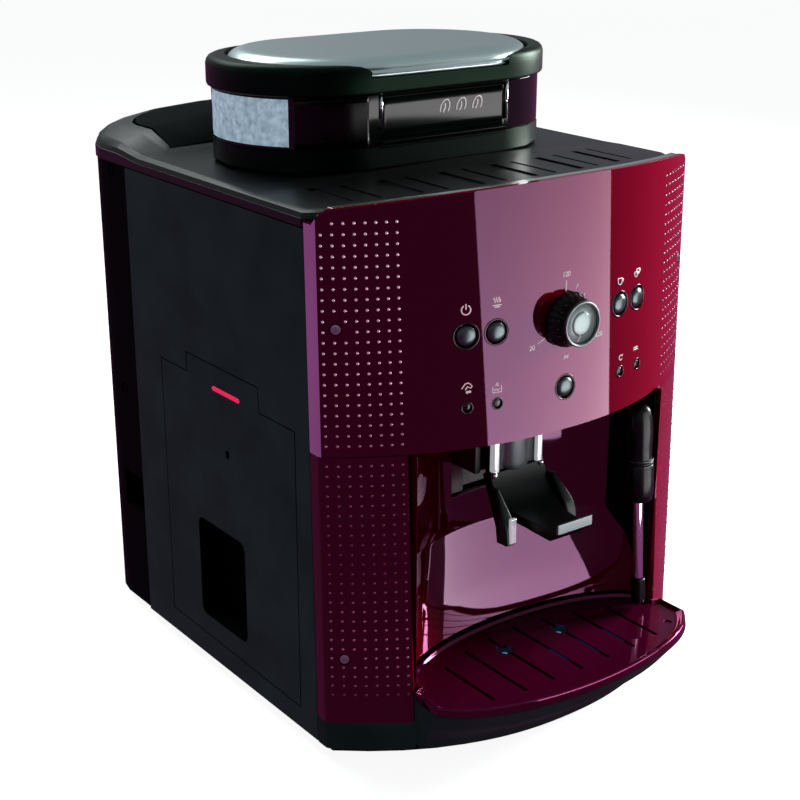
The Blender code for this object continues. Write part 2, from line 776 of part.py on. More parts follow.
def dial_centre():
    return (0.0, front_y(0.0, DIAL_HEIGHT), DIAL_HEIGHT)


def build_dial_knob():
    profile = [(0.0030, 0.0125), (0.0030, -0.0012), (0.0139, -0.0012), (0.0142, -0.0022),
               (0.0128, -0.0032), (0.0113, -0.0050), (0.0111, -0.0085), (0.0117, -0.0120),
               (0.0098, -0.0120), (0.0092, -0.0105)]
    knob = lathe("dial_knob", profile, dial_centre(), "y", BLACK, sides=32)
    for i in range(16):
        angle = 2 * math.pi * i / 16
        cx, cz = 0.0147 * math.cos(angle), 0.0147 * math.sin(angle)
        start = (cx, dial_centre()[1] - 0.0029, DIAL_HEIGHT + cz)
        end = (cx, dial_centre()[1] - 0.0003, DIAL_HEIGHT + cz)
        cut(knob, rod("flute", start, end, 0.0010, sides=6, collection=CUTTERS))
    tidy(knob)
    return set_origin(knob, dial_centre())


def build_dial_ring():
    x, y, z = dial_centre()
    ring = lathe("dial_ring", [(0.0101, -0.0123), (0.0117, -0.0123), (0.0117, -0.0132),
                               (0.0110, -0.0137), (0.0101, -0.0133)],
                 (x, y, z), "y", SILVER, sides=32, hollow=True)
    return set_origin(ring, dial_centre())


def build_dial_cap():
    cap = lathe("dial_cap", [(0.0064, -0.0109), (0.0066, -0.0118), (0.0060, -0.0126),
                             (0.0035, -0.0131)], dial_centre(), "y", CHROME, sides=24)
    return set_origin(cap, dial_centre())


def build_control_board():
    y = dial_centre()[1] + 0.0152
    board = box("control_board", (-0.0640, y, 0.1780), (0.0640, y + 0.0016, 0.2480), BOARD)
    for x, z in BUTTONS.values():
        front = front_y(x, z)
        angle = front_slope(x, z)
        inward = Vector((-math.sin(angle), math.cos(angle), 0))
        stem_end = Vector((x, front, z)) + inward * 0.0058
        reach = min(0.0, (stem_end.y + 0.0022) - y)
        if reach < -0.001:
            add(board, box("switch", (stem_end.x - 0.003, y + reach, z - 0.003),
                           (stem_end.x + 0.003, y + 0.0002, z + 0.003), collection=CUTTERS))
    x, _, z = dial_centre()
    add(board, box("encoder", (-0.0065, y - 0.0102, z - 0.0065), (0.0065, y + 0.0004, z + 0.0065),
                   collection=CUTTERS))
    cut(board, rod("bore", (x, y - 0.02, z), (x, y - 0.0020, z), 0.0034, sides=20,
                   collection=CUTTERS))
    add(board, box("processor", (-0.030, y - 0.0014, 0.2020), (-0.018, y + 0.0002, 0.2140),
                   collection=CUTTERS))
    add(board, box("connector", (0.018, y + 0.0014, 0.2360), (0.040, y + 0.0070, 0.2440),
                   collection=CUTTERS))
    return tidy(board)


# ---------------------------------------------------------------- bean hopper and grinder
def build_hopper():
    floor = 0.2890
    base = prism("hopper_base", stadium(0.0022), floor, 0.3000, BLACK)
    cut(base, prism("hollow", stadium(0.0052), 0.2925, 0.32, collection=CUTTERS))
    spigot = rod("spigot", (0, HOPPER_CENTRE_Y, 0.2690), (0, HOPPER_CENTRE_Y, 0.2910), 0.0190,
                 sides=32, collection=CUTTERS)
    add(base, spigot)
    bore = rod("bore", (0, HOPPER_CENTRE_Y, 0.26), (0, HOPPER_CENTRE_Y, 0.31), 0.0165, sides=32,
               collection=CUTTERS)
    cut(base, bore)
    cut(base, rod("dial_seat", (0.055, HOPPER_CENTRE_Y, 0.28), (0.055, HOPPER_CENTRE_Y, 0.30),
                  0.0044, sides=20, collection=CUTTERS))
    tidy(base)

    tub = prism("hopper_window", stadium(0.0026), 0.3003, LID_BOTTOM - GAP, SMOKE)
    cut(tub, prism("hollow", stadium(0.0050), 0.29, 0.35, collection=CUTTERS))
    tidy(tub)
    return base, tub


def build_hopper_lid():
    """Lid with a raised black crescent at each end and a domed metal plate between them."""
    seat = 0.3352
    lid = prism("hopper_lid", stadium(0.0, 11), LID_BOTTOM, 0.3425, BLACK)
    soften(lid, 0.0026, 2, 60)
    apply_modifiers(lid)
    cut(lid, prism("underside", stadium(0.0030, 11), 0.32, 0.3325, collection=CUTTERS))
    cut(lid, prism("plate_seat", stadium(-0.0020, 11, 0.0140), seat, 0.36, collection=CUTTERS))
    tidy(lid)
    set_origin(lid, (0, HOPPER_CENTRE_Y, LID_BOTTOM))
    rings = []
    for inset, z in ((0.0006, seat + GAP), (0.0006, 0.3388), (0.0020, 0.3420), (0.0050, 0.3440),
                     (0.0110, 0.3450)):
        rings.append([(x, y, z) for x, y in stadium(inset, 11, 0.0120)])
    plate = loft("lid_plate", rings, SILVER)
    set_origin(plate, (0, HOPPER_CENTRE_Y, LID_BOTTOM))
    return lid, plate


def build_grind_dial():
    dial = lathe("grind_dial", [(0.0040, -0.0034), (0.0040, 0.0003), (0.0120, 0.0003),
                                (0.0120, 0.0065), (0.0105, 0.0080)],
                 (0.055, HOPPER_CENTRE_Y, 0.2926), material=DARK, sides=24)
    for i in range(8):
        angle = 2 * math.pi * i / 8
        cx, cy = 0.0128 * math.cos(angle), 0.0128 * math.sin(angle)
        cut(dial, rod("flute", (0.055 + cx, HOPPER_CENTRE_Y + cy, 0.2920),
                      (0.055 + cx, HOPPER_CENTRE_Y + cy, 0.3020), 0.0020, sides=8,
                      collection=CUTTERS))
    tidy(dial)
    return set_origin(dial, (0.055, HOPPER_CENTRE_Y, 0.2926))


def build_grinder():
    x, y = 0.0, HOPPER_CENTRE_Y
    housing = lathe("grinder_housing", [(0.0330, 0.2160), (0.0350, 0.2180), (0.0350, 0.2550),
                                        (0.0260, 0.2640), (0.0260, 0.2685)], (x, y, 0),
                    material=ALLOY, sides=28)
    cut(housing, rod("chamber", (x, y, 0.2220), (x, y, 0.2560), 0.0305, sides=28,
                     collection=CUTTERS))
    cut(housing, rod("throat", (x, y, 0.2500), (x, y, 0.2800), 0.0205, sides=24,
                     collection=CUTTERS))
    cut(housing, rod("shaft_hole", (x, y, 0.2100), (x, y, 0.2300), 0.0050, sides=24,
                     collection=CUTTERS))
    chute = box("chute", (-0.046, y - 0.009, 0.2230), (-0.020, y + 0.009, 0.2330),
                collection=CUTTERS)
    cut(housing, chute)
    tidy(housing)

    ring = lathe("burr_ring", [(0.0312, 0.2480), (0.0312, 0.2566), (0.0215, 0.2566),
                               (0.0190, 0.2520), (0.0245, 0.2480)],
                 (x, y, 0), sides=28, hollow=True)
    add_burr_teeth(ring, x, y, 0.2476, 0.0274)
    add(housing, ring)
    tidy(housing)

    lower = lathe("lower_burr", [(0.0044, 0.2168), (0.0044, 0.2290), (0.0285, 0.2290),
                                 (0.0290, 0.2310), (0.0290, 0.2440), (0.0205, 0.2450),
                                 (0.0080, 0.2560), (0.0050, 0.2600)],
                  (x, y, 0), material=STEEL, sides=28)
    for i in range(8):
        angle = 2 * math.pi * i / 8
        outer = (x + 0.0285 * math.cos(angle), y + 0.0285 * math.sin(angle), 0.2455)
        inner = (x + 0.0160 * math.cos(angle + 0.4), y + 0.0160 * math.sin(angle + 0.4), 0.2505)
        cut(lower, rod("tooth", outer, inner, 0.0011, sides=6, collection=CUTTERS))
    cut(lower, rod("drive", (x, y, 0.21), (x, y, 0.2240), 0.0021, sides=6, collection=CUTTERS))
    tidy(lower)
    set_origin(lower, (x, y, 0.2290))

    motor = lathe("grinder_motor", [(0.0100, 0.1320), (0.0255, 0.1340), (0.0265, 0.1360),
                                    (0.0265, 0.2120), (0.0250, 0.2140), (0.0080, 0.2145),
                                    (0.0080, 0.2154)], (x, y, 0), material=STEEL, sides=28)
    cut(motor, rod("socket", (x, y, 0.2100), (x, y, 0.2200), 0.0050, sides=24,
                   collection=CUTTERS))
    tidy(motor)
    return housing, lower, motor


def add_burr_teeth(burr, x, y, z, radius):
    for i in range(8):
        angle = 2 * math.pi * i / 8
        outer = (x + radius * 1.08 * math.cos(angle), y + radius * 1.08 * math.sin(angle), z)
        inner = (x + radius * 0.85 * math.cos(angle + 0.25),
                 y + radius * 0.85 * math.sin(angle + 0.25), z)
        cut(burr, rod("tooth", outer, inner, 0.0012, sides=6, collection=CUTTERS))


# ---------------------------------------------------------------- outlet spout
def build_spout():
    """Height-adjustable outlet: column, flared skirt, pull tongue and two nozzles."""
    front = SPOUT_FRONT_Y
    half = 0.0168
    crown = [(x, front - 0.0016 * (1 - (x / half) ** 2)) for x in spread(-half, half, 9)]
    column_plan = crown + [(half, front + 0.0066), (-half, front + 0.0066)]
    column = prism("spout_carriage", column_plan, 0.1300, 0.2050, GLOSS_BLACK)
    ducts = box("duct", (-0.0120, front + 0.0020, 0.1100), (0.0120, front + 0.0050, 0.2100),
                collection=CUTTERS)
    flare = prism_along_x("flare", [(front - 0.0016, 0.1302), (front - 0.0016, 0.1330),
                                    (front + 0.0066, 0.1330), (front + 0.0066, 0.1240),
                                    (front - 0.0125, 0.1120), (front - 0.0185, 0.1120),
                                    (front - 0.0185, 0.1200)],
                          -0.0200, 0.0200, None, CUTTERS)
    tongue = prism_along_x("tongue", [(front - 0.0130, 0.1130), (front - 0.0130, 0.1215),
                                      (front - 0.0200, 0.1212), (front - 0.0447, 0.1207),
                                      (front - 0.0447, 0.1150), (front - 0.0200, 0.1125)],
                           -0.0118, 0.0118, None, CUTTERS)
    add(column, flare, tongue)
    for side in (-1, 1):
        x0, x1 = sorted((side * 0.0176, side * 0.0258))
        nozzle = prism("nozzle", rounded_box_outline(x0, front - 0.0225, x1, front - 0.0125,
                                                     0.0012, 2),
                       0.1036, 0.1200, None, CUTTERS)
        add(column, nozzle)
    cut(column, ducts)
    for side in (-1, 1):
        x = side * 0.0217
        cut(column, rod("bore", (x, front - 0.0170, 0.1000), (x, front - 0.0170, 0.1150), 0.0022,
                        sides=16, collection=CUTTERS))
    tidy(column)
    set_origin(column, (0, front, 0.1300))

    rails = []
    for side in (-1, 1):
        x0, x1 = sorted((side * (half + GAP), side * (half + 0.0022)))
        rails.append(box("rail", (x0, front - 0.0006, 0.1338), (x1, front + 0.0030, 0.2040)))
    bridge = box("bridge", (-half - 0.0022, front - 0.0002, 0.2054),
                 (half + 0.0022, front + 0.0030, 0.2074))
    rails = [extend_up(rail, 0.2060) for rail in rails]
    trims = add(bridge, *rails)
    trims.name = "spout_rails"
    trims.data.materials.clear()
    trims.data.materials.append(CHROME)
    tidy(trims)
    set_origin(trims, (0, front, 0.1300))

    plate = box("spout_grip", (-0.0118, front - 0.0465, 0.1152), (0.0118, front - 0.0451, 0.1206),
                SILVER)
    set_origin(plate, (0, front, 0.1300))

    return column, trims, plate


def extend_up(obj, top):
    highest = max(vertex.co.z for vertex in obj.data.vertices)
    for vertex in obj.data.vertices:
        if vertex.co.z > highest - 1e-5:
            vertex.co.z = top
    return obj


def build_outlet_guide():
    """Fixed guide behind the spout; carries the brewed coffee to it."""
    y0, y1 = -0.0815, -0.0560
    guide = box("outlet_guide", (-0.0228, -0.0815, 0.1335), (0.0228, -0.0470, 0.1640), DARK)
    channel = box("channel", (-0.0190, -0.1, 0.12), (0.0190, -0.0790, 0.18), collection=CUTTERS)
    cut(guide, channel)
    duct = box("duct", (-0.0100, -0.0900, 0.1420), (0.0100, -0.0400, 0.1520), collection=CUTTERS)
    cut(guide, duct)
    plate = box("outlet_plate", (-0.0228, -0.0610, 0.1150), (0.0228, -0.0480, 0.1330), GREY)
    cut(plate, box("relief", (-0.0140, -0.0630, 0.1120), (0.0140, -0.0550, 0.1280),
                   collection=CUTTERS))
    return tidy(guide), tidy(plate)


# ---------------------------------------------------------------- steam wand
def build_wand():
    px, py, pz = WAND_PIVOT
    x, y = px, py
    arm_rings = []
    for z, half_x, half_y in ((0.1300, 0.0064, 0.0060), (0.1360, 0.0066, 0.0060),
                              (0.1450, 0.0074, 0.0060), (0.1540, 0.0070, 0.0054),
                              (0.1610, 0.0050, 0.0042)):
        outline = rounded_box_outline(x - half_x, y - half_y, x + half_x, y + half_y, 0.0035, 3)
        arm_rings.append([(a, b, z) for a, b in outline])
    arm = loft("steam_arm", arm_rings, GLOSS_BLACK)

    collar = lathe("steam_collar", [(0.0040, 0.1040), (0.0072, 0.1060), (0.0078, 0.1100),
                                    (0.0078, 0.1255), (0.0074, 0.1262), (0.0074, 0.1270),
                                    (0.0078, 0.1277), (0.0066, 0.1306), (0.0030, 0.1312)],
                   (x, y, 0), sides=20)
    add(arm, collar)
    cut(arm, rod("bore", (x, y, 0.10), (x, y, 0.1250), 0.0032, sides=16, collection=CUTTERS))

    tube = rod("steam_tube", (x, y, 0.0580), (x, y, 0.1240), 0.00285, CHROME, sides=16)
    cut(tube, rod("bore", (x, y, 0.05), (x, y, 0.13), 0.0014, sides=10, collection=CUTTERS))

    tip = lathe("steam_tip", [(0.0022, 0.0418), (0.0036, 0.0430), (0.0040, 0.0460),
                              (0.0040, 0.0570), (0.0034, 0.0576)], (x, y, 0),
                material=BLACK, sides=16)
    cut(tip, rod("bore", (x, y, 0.035), (x, y, 0.060), 0.0012, sides=8, collection=CUTTERS))

    pieces = [arm, tube, tip]
    for piece in pieces:
        tidy(piece)
        tilt_about(piece, WAND_PIVOT, -WAND_LEAN)
        set_origin(piece, WAND_PIVOT)
    return pieces


# ---------------------------------------------------------------- drip tray
def tray_ring(flare, inset):
    """Plan of the drip tray; flare 1 is the wide rim, 0 the narrow foot under the fascia."""
    wide = 0.0888 * flare + 0.0815 * (1 - flare) - inset
    half_slot = 0.0832 - inset
    rear = []
    for angle in spread(math.radians(4), math.radians(176), 15):
        depth = BAY_DEPTH_LOW - 0.0010 - inset
        rear.append((half_slot * math.cos(angle), BAY_FRONT_Y + depth * math.sin(angle)))
    front = []
    for t in spread(-1, 1, 17):
        x = wide * math.sin(t * math.pi / 2)
        share = abs(x / wide)
        rim_y = -0.1631 + inset + 0.0190 * share ** 2 + 0.0095 * share ** 8
        foot_y = front_y(x, 0.005) - 0.0006 + inset
        front.append((x, rim_y * flare + foot_y * (1 - flare)))
    shoulder_x = max(half_slot - 0.0004, wide)
    shoulder_y = max(BAY_FRONT_Y - 0.0058 + inset, front[0][1] + 0.0008)
    join_y = BAY_FRONT_Y - 0.0035 + inset * 0.5
    left = [(-half_slot, join_y), (-shoulder_x, shoulder_y)]
    right = [(shoulder_x, shoulder_y), (half_slot, join_y)]
    return rear + left + front + right


def build_drip_tray():
    levels = ((BODY_BOTTOM, 0.0), (0.0130, 0.15), (0.0250, 0.68), (TRAY_TOP, 1.0))
    rings = [[(x, y, z) for x, y in tray_ring(flare, 0.0)] for z, flare in levels]
    tray = loft("drip_tray", rings, BLACK)
    inner_levels = ((0.0095, 0.05), (0.0250, 0.64), (0.0450, 1.0))
    hollow = [[(x, y, z) for x, y in tray_ring(flare, 0.0028)] for z, flare in inner_levels]
    cut(tray, loft("hollow", hollow, None, CUTTERS))
    for side in (-1, 1):
        well = lathe("well", [(0.0068, 0.0090), (0.0068, 0.0170), (0.0056, 0.0170),
                              (0.0056, 0.0090)], (side * 0.0195, -0.1055, 0), sides=16,
                     hollow=True)
        add(tray, well)
    return tidy(tray)


def build_drip_plate():
    outline = tray_ring(1.0, 0.0004)
    plate = prism("drip_plate", outline, TRAY_TOP + GAP, LIP_TOP, RED)
    pocket_rings = [[(x, y, z) for x, y in tray_ring(1.0, inset)]
                    for z, inset in ((PLATE_TOP, 0.0036), (PLATE_TOP + 0.004, 0.0022))]
    cut(plate, loft("pocket", pocket_rings, None, CUTTERS))
    lines = ((-0.0578, -0.1021, -0.1418), (-0.0386, -0.0950, -0.1443), (-0.0195, -0.0905, -0.1445),
             (0.0, -0.0887, -0.1450), (0.0195, -0.0905, -0.1445), (0.0386, -0.0950, -0.1443),
             (0.0578, -0.1021, -0.1418))
    for x, rear, front in lines:
        cut(plate, box("slot", (x - 0.0010, front, 0.03), (x + 0.0010, rear, 0.05),
                       collection=CUTTERS))
    for side in (-1, 1):
        cut(plate, rod("hex", (side * 0.0195, -0.1055, 0.03), (side * 0.0195, -0.1055, 0.05),
                       0.0052, sides=6, collection=CUTTERS))
    return tidy(plate)


def build_float():
    """One float with two pins that rise through the plate when the tray is full."""
    bar = box("tray_float", (-0.0200, -0.1120, 0.0190), (0.0200, -0.0990, 0.0235), BLUE)
    for side in (-1, 1):
        profile = [(0.0044, 0.0108), (0.0050, 0.0114), (0.0050, 0.0200), (0.0018, 0.0240),
                   (0.0018, 0.0332), (0.0024, 0.0342), (0.0016, 0.0364)]
        add(bar, lathe("pin", profile, (side * 0.0195, -0.1055, 0), sides=14))
    tidy(bar)
    return set_origin(bar, (0, -0.1055, 0.0190))


# ---------------------------------------------------------------- grounds drawer
def inset_door(points, inset):
    y_mid = 0.0065
    z_mid = 0.1
    result = []
    for y, z in points:
        result.append((y + (inset if y < y_mid else -inset), z + (inset if z < z_mid else -inset)))
    return result


def build_drawer():
    outline = [(0.0750, 0.0210), (0.0750, 0.1770), (0.0460, 0.1770), (0.0460, 0.1880),
               (-0.0280, 0.1880), (-0.0290, 0.1745), (-0.0620, 0.1745), (-0.0620, 0.0190)]
    door = prism_along_x("drawer_door", inset_door(outline, GAP), -HALF, -HALF + 0.0024, BLACK)
    cup = box("cup", (-HALF + 0.0020, -0.0120, 0.0300), (-0.1052, 0.0440, 0.0960),
              collection=CUTTERS)
    add(door, cup)
    recess = prism_along_x("recess", rounded_box_outline(-0.0090, 0.0330, 0.0400, 0.0930, 0.004, 3),
                           -0.13, -0.1075, collection=CUTTERS)
    cut(door, recess)
    marker_seat = prism_along_x("seat", rounded_box_outline(-0.0092, 0.1730, 0.0195, 0.1762,
                                                            0.0014, 3),
                                -0.13, -HALF + 0.0012, collection=CUTTERS)
    cut(door, marker_seat)
    latch = box("latch_hole", (-0.13, 0.0035, 0.1385), (-0.11, 0.0067, 0.1425),
                collection=CUTTERS)
    cut(door, latch)
    tidy(door)

    marker = prism_along_x("drawer_marker",
                           rounded_box_outline(-0.0088, 0.1734, 0.0191, 0.1758, 0.0011, 3),
                           -HALF, -HALF + 0.0009, SIGNAL)

    bin_box = box("grounds_bin", (-0.1048, -0.0520, BIN_FLOOR), (-0.0250, 0.0660, 0.1120), DARK)
    cut(bin_box, box("hollow", (-0.1026, -0.0498, BIN_FLOOR + 0.0022), (-0.0272, 0.0638, 0.13),
                     collection=CUTTERS))
    tidy(bin_box)
    return door, marker, bin_box


# ---------------------------------------------------------------- water tank
def build_tank():
    tank = prism("water_tank", tank_lid_outline(0.0010), 0.0340, 0.2800, CLEAR)
    hollow = prism("hollow", tank_lid_outline(0.0032), 0.0362, 0.29, collection=CUTTERS)
    cut(tank, hollow)
    spigot = rod("spigot", (0.030, 0.1280, 0.0285), (0.030, 0.1280, 0.0350), 0.0080, sides=24,
                 collection=CUTTERS)
    add(tank, spigot)
    cut(tank, rod("outlet", (0.030, 0.1280, 0.02), (0.030, 0.1280, 0.045), 0.0045, sides=16,
                  collection=CUTTERS))
    tidy(tank)
    set_origin(tank, (0, 0.1278, 0.0340))

    lid = prism("tank_lid", tank_lid_outline(0.0006), 0.2804, 0.2865, BLACK)
    follow_lid(lid)
    cut(lid, prism("underside", tank_lid_outline(0.0034), 0.27, 0.2838, collection=CUTTERS))
    finger = prism("finger", rounded_box_outline(-0.016, 0.1010, 0.016, 0.1080, 0.003, 3),
                   deck_height(0, 0.105) - 0.0024, 0.32, collection=CUTTERS)
    cut(lid, finger)
    tidy(lid)
    set_origin(lid, (0, 0.1278, 0.2804))
    return tank, lid


def follow_lid(lid):
    bm = bmesh.new()
    bm.from_mesh(lid.data)
    for x in spread(-0.08, 0.08, 9):
        bmesh.ops.bisect_plane(bm, geom=bm.verts[:] + bm.edges[:] + bm.faces[:],
                               plane_co=(x, 0, 0), plane_no=(1, 0, 0))
    bmesh.ops.bisect_plane(bm, geom=bm.verts[:] + bm.edges[:] + bm.faces[:],
                           plane_co=(0, 0.118, 0), plane_no=(0, 1, 0))
    for vertex in bm.verts:
        if vertex.co.z > 0.284:
            vertex.co.z = deck_height(vertex.co.x, vertex.co.y)
    bm.to_mesh(lid.data)
    bm.free()


def build_tank_dock():
    dock = box("tank_dock", (-0.0930, 0.1010, 0.0066), (0.0930, 0.1540, 0.0336), DARK)
    cut(dock, box("underside", (-0.0905, 0.1035, 0.0), (0.0905, 0.1515, 0.0260),
                  collection=CUTTERS))
    cut(dock, rod("seat", (0.030, 0.1280, 0.0200), (0.030, 0.1280, 0.0400), 0.0084, sides=24,
                  collection=CUTTERS))
    return tidy(dock)


def build_divider():
    """Wall between the tank bay and the works."""
    wall = box("tank_bay_wall", (-0.1185, 0.0940, 0.0190), (0.1185, 0.0965, 0.2785), DARK)
    for x in (-0.06, 0.06):
        cut(wall, rod("hose_hole", (x, 0.08, 0.0270), (x, 0.11, 0.0270), 0.0052, sides=16,
                      collection=CUTTERS))
    return tidy(wall)


# ---------------------------------------------------------------- brewing and water circuit
BREW_X, BREW_Y = -0.0700, 0.0150


def build_brew_unit():
    x, y = BREW_X, BREW_Y
    frame = box("brew_frame", (x - 0.030, y - 0.030, 0.1200), (x + 0.026, y + 0.030, 0.2100), DARK)
    cut(frame, box("window", (x - 0.024, y - 0.024, 0.1260), (x + 0.020, y + 0.024, 0.2040),
                   collection=CUTTERS))
    cut(frame, box("side", (x - 0.040, y - 0.020, 0.1300), (x + 0.040, y + 0.020, 0.2000),
                   collection=CUTTERS))
    cut(frame, box("front", (x - 0.020, y - 0.040, 0.1300), (x + 0.016, y + 0.040, 0.2000),
                   collection=CUTTERS))
    cut(frame, rod("top_port", (x - 0.002, y, 0.2), (x - 0.002, y, 0.22), 0.0050, sides=20,
                   collection=CUTTERS))
    cut(frame, rod("drop_port", (x - 0.002, y, 0.11), (x - 0.002, y, 0.13), 0.0160, sides=28,
                   collection=CUTTERS))
    tidy(frame)

    chamber = lathe("chamber", [(0.0190, 0.1258), (0.0190, 0.1640), (0.0165, 0.1640),
                                (0.0165, 0.1258)], (x - 0.002, y, 0), sides=28, hollow=True)
    add(frame, chamber)
    tidy(frame)

    piston = lathe("brew_piston", [(0.0150, 0.1720), (0.0155, 0.1726), (0.0155, 0.1830),
                                   (0.0044, 0.1836), (0.0044, 0.2260), (0.0034, 0.2270)],
                   (x - 0.002, y, 0), material=BRASS, sides=28)
    tidy(piston)
    set_origin(piston, (x - 0.002, y, 0.1720))

    return frame, piston


def build_thermoblock():
    block = box("thermoblock", (0.0420, -0.0300, 0.1560), (0.0900, 0.0340, 0.1760), ALLOY)
    for i in range(6):
        y = -0.0240 + i * 0.0100
        cut(block, box("fin_gap", (0.0400, y, 0.1680), (0.0920, y + 0.0040, 0.1800),
                       collection=CUTTERS))
    for x in (0.0500, 0.0800):
        add(block, rod("stub", (x, -0.0290, 0.1620), (x, -0.0420, 0.1620), 0.0030, sides=16,
                       collection=CUTTERS))
    return tidy(block)


def build_pump():
    x, z = 0.0680, 0.0560
    body = lathe("water_pump", [(0.0120, -0.0300), (0.0175, -0.0290), (0.0175, 0.0180),
                                (0.0120, 0.0200), (0.0120, 0.0420), (0.0060, 0.0430),
                                (0.0060, 0.0520)], (x, 0.0, z), "y", STEEL, sides=28)
    cut(body, rod("bore", (x, -0.040, z), (x, 0.060, z), 0.0022, sides=12, collection=CUTTERS))
    tidy(body)
    return body


def build_all():
    build_base()
    build_feet()
    build_left_panel()
    build_right_panel()
    build_rear_cover()
    build_cord_gland()
    build_deck()
    build_deck_trim()
    build_control_panel()
    build_column(-1)
    build_column(1)
    build_bay_liner()
    build_steam_pocket()
    build_screws()
    for name, (x, z) in BUTTONS.items():
        build_button(name, x, z)
    build_light_guide()
    build_dial_knob()
    build_dial_ring()
    build_dial_cap()
    build_control_board()
    build_hopper()
    build_hopper_lid()
    build_grind_dial()
    build_grinder()
    build_spout()
    build_outlet_guide()
    build_wand()
    build_drip_tray()
    build_drip_plate()
    build_float()
    build_drawer()
    build_tank()
    build_tank_dock()
    build_divider()
    build_brew_unit()
    build_thermoblock()
    build_pump()


def shade(obj):
    """Smooth shading on curved sides, with the real corners kept crisp."""
    obj.data.shade_smooth()
    obj.data.set_sharp_from_angle(angle=math.radians(32))


build_all()
bpy.context.view_layer.update()
for leftover in list(CUTTERS.objects):
    bpy.data.objects.remove(leftover, do_unlink=True)
for part in PARTS.objects:
    shade(part)
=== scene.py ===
"""Looks for the bean-to-cup espresso machine: fine visible shells, procedural materials, light and camera.

Metres, +Z up. The machine's front faces -Y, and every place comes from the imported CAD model.
"""
import math

import bmesh
import bpy
from mathutils import Matrix, Vector


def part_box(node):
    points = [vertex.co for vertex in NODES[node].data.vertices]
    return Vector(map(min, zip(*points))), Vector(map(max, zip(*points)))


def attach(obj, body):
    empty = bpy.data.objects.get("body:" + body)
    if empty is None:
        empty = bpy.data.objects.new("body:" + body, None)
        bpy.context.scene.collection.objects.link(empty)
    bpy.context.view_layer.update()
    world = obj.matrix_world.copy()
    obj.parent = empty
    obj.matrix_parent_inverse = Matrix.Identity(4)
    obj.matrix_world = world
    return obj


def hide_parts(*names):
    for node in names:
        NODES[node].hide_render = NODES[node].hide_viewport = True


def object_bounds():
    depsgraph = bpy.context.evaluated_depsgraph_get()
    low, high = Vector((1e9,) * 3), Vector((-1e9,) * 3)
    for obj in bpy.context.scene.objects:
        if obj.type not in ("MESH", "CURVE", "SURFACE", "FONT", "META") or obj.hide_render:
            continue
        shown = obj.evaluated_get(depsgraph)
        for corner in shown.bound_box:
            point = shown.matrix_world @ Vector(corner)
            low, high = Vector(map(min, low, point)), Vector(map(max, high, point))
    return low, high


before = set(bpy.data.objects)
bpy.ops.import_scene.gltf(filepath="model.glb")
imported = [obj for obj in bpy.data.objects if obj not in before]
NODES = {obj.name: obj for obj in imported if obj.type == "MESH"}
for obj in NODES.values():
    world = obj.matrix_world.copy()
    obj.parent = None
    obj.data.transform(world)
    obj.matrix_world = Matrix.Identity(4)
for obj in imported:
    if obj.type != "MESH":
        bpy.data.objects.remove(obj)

CAD_LOW, CAD_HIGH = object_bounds()

# ---------------- dimensions read from the CAD
PANEL_LOW, PANEL_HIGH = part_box("control_panel")
HALF = PANEL_HIGH.x                     # half the body's width
PANEL_BOTTOM, PANEL_TOP = PANEL_LOW.z, PANEL_HIGH.z
PANEL_CROWN = 0.007                     # the fascia's top edge falls towards its ends
FLANGE_Y = PANEL_HIGH.y                 # rear edge of the fascia's side strips
PANEL_SKIN = 0.003
COLUMN_BOTTOM, COLUMN_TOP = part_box("left_column")[0].z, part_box("left_column")[1].z
COLUMN_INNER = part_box("right_column")[0].x
BAY_LOW, BAY_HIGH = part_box("bay_liner")
BAY_FRONT_Y = BAY_LOW.y
BAY_END = BAY_HIGH.x
TRAY_LOW, TRAY_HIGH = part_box("drip_tray")
PLATE_LOW, PLATE_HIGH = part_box("drip_plate")
LID_LOW, LID_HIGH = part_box("hopper_lid")
HOPPER_CENTRE_Y = (LID_LOW.y + LID_HIGH.y) / 2
WINDOW_LOW, WINDOW_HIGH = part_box("hopper_window")
DIAL_LOW, DIAL_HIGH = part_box("dial_knob")
DIAL_HEIGHT = (DIAL_LOW.z + DIAL_HIGH.z) / 2
CORNER_FILLET = 0.004
TOP_CORNER = 0.0065
SIDES = {-1: "left", 1: "right"}
FLOAT_X, FLOAT_Y = 0.0195, -0.1055      # the two float wells under the drip plate


# ---------------- body outlines
def front_edge_y(z):
    """Line where the fascia meets its side strips; it leans back towards the top."""
    return -0.08335 + 0.0168 * (z - 0.2)


def front_y(x, z):
    """Front surface of the red fascia and columns, bowed out in plan."""
    bulge = 0.0388 - 0.0481 * (z - 0.22)
    return front_edge_y(z) - bulge * (1 - abs(x / HALF) ** 2.26)


def front_slope(x, z):
    step = 1e-4
    return math.atan((front_y(x + step, z) - front_y(x - step, z)) / (2 * step))


def circle(radius, count, turn=0.0):
    """Points evenly round a circle about the origin."""
    angles = [2 * math.pi * i / count + turn for i in range(count)]
    return [(radius * math.cos(a), radius * math.sin(a)) for a in angles]


def spread(low, high, count):
    return [low + (high - low) * i / (count - 1) for i in range(count)]


def raised(outline, z):
    """A plan outline lifted to a height."""
    return [(x, y, z) for x, y in outline]


def blend_between(value, points):
    """Straight-line interpolation through (position, value) pairs."""
    for (a, va), (b, vb) in zip(points, points[1:]):
        if value <= b:
            return va + (vb - va) * max(0.0, value - a) / (b - a)
    return points[-1][1]


def bay_depth(z):
    return blend_between(z, ((0.0422, 0.0336), (0.060, 0.0385), (0.078, 0.0452), (0.093, 0.0505)))


def stadium(half_length, half_width, count):
    """Plan of the hopper: two straight sides and two round ends, about its own centre."""
    reach = half_length - half_width
    points = []
    for centre, start in ((reach, -90), (-reach, 90)):
        for angle in spread(start, start + 180, count):
            a = math.radians(angle)
            points.append((centre + half_width * math.cos(a),
                           HOPPER_CENTRE_Y + half_width * math.sin(a)))
    return points


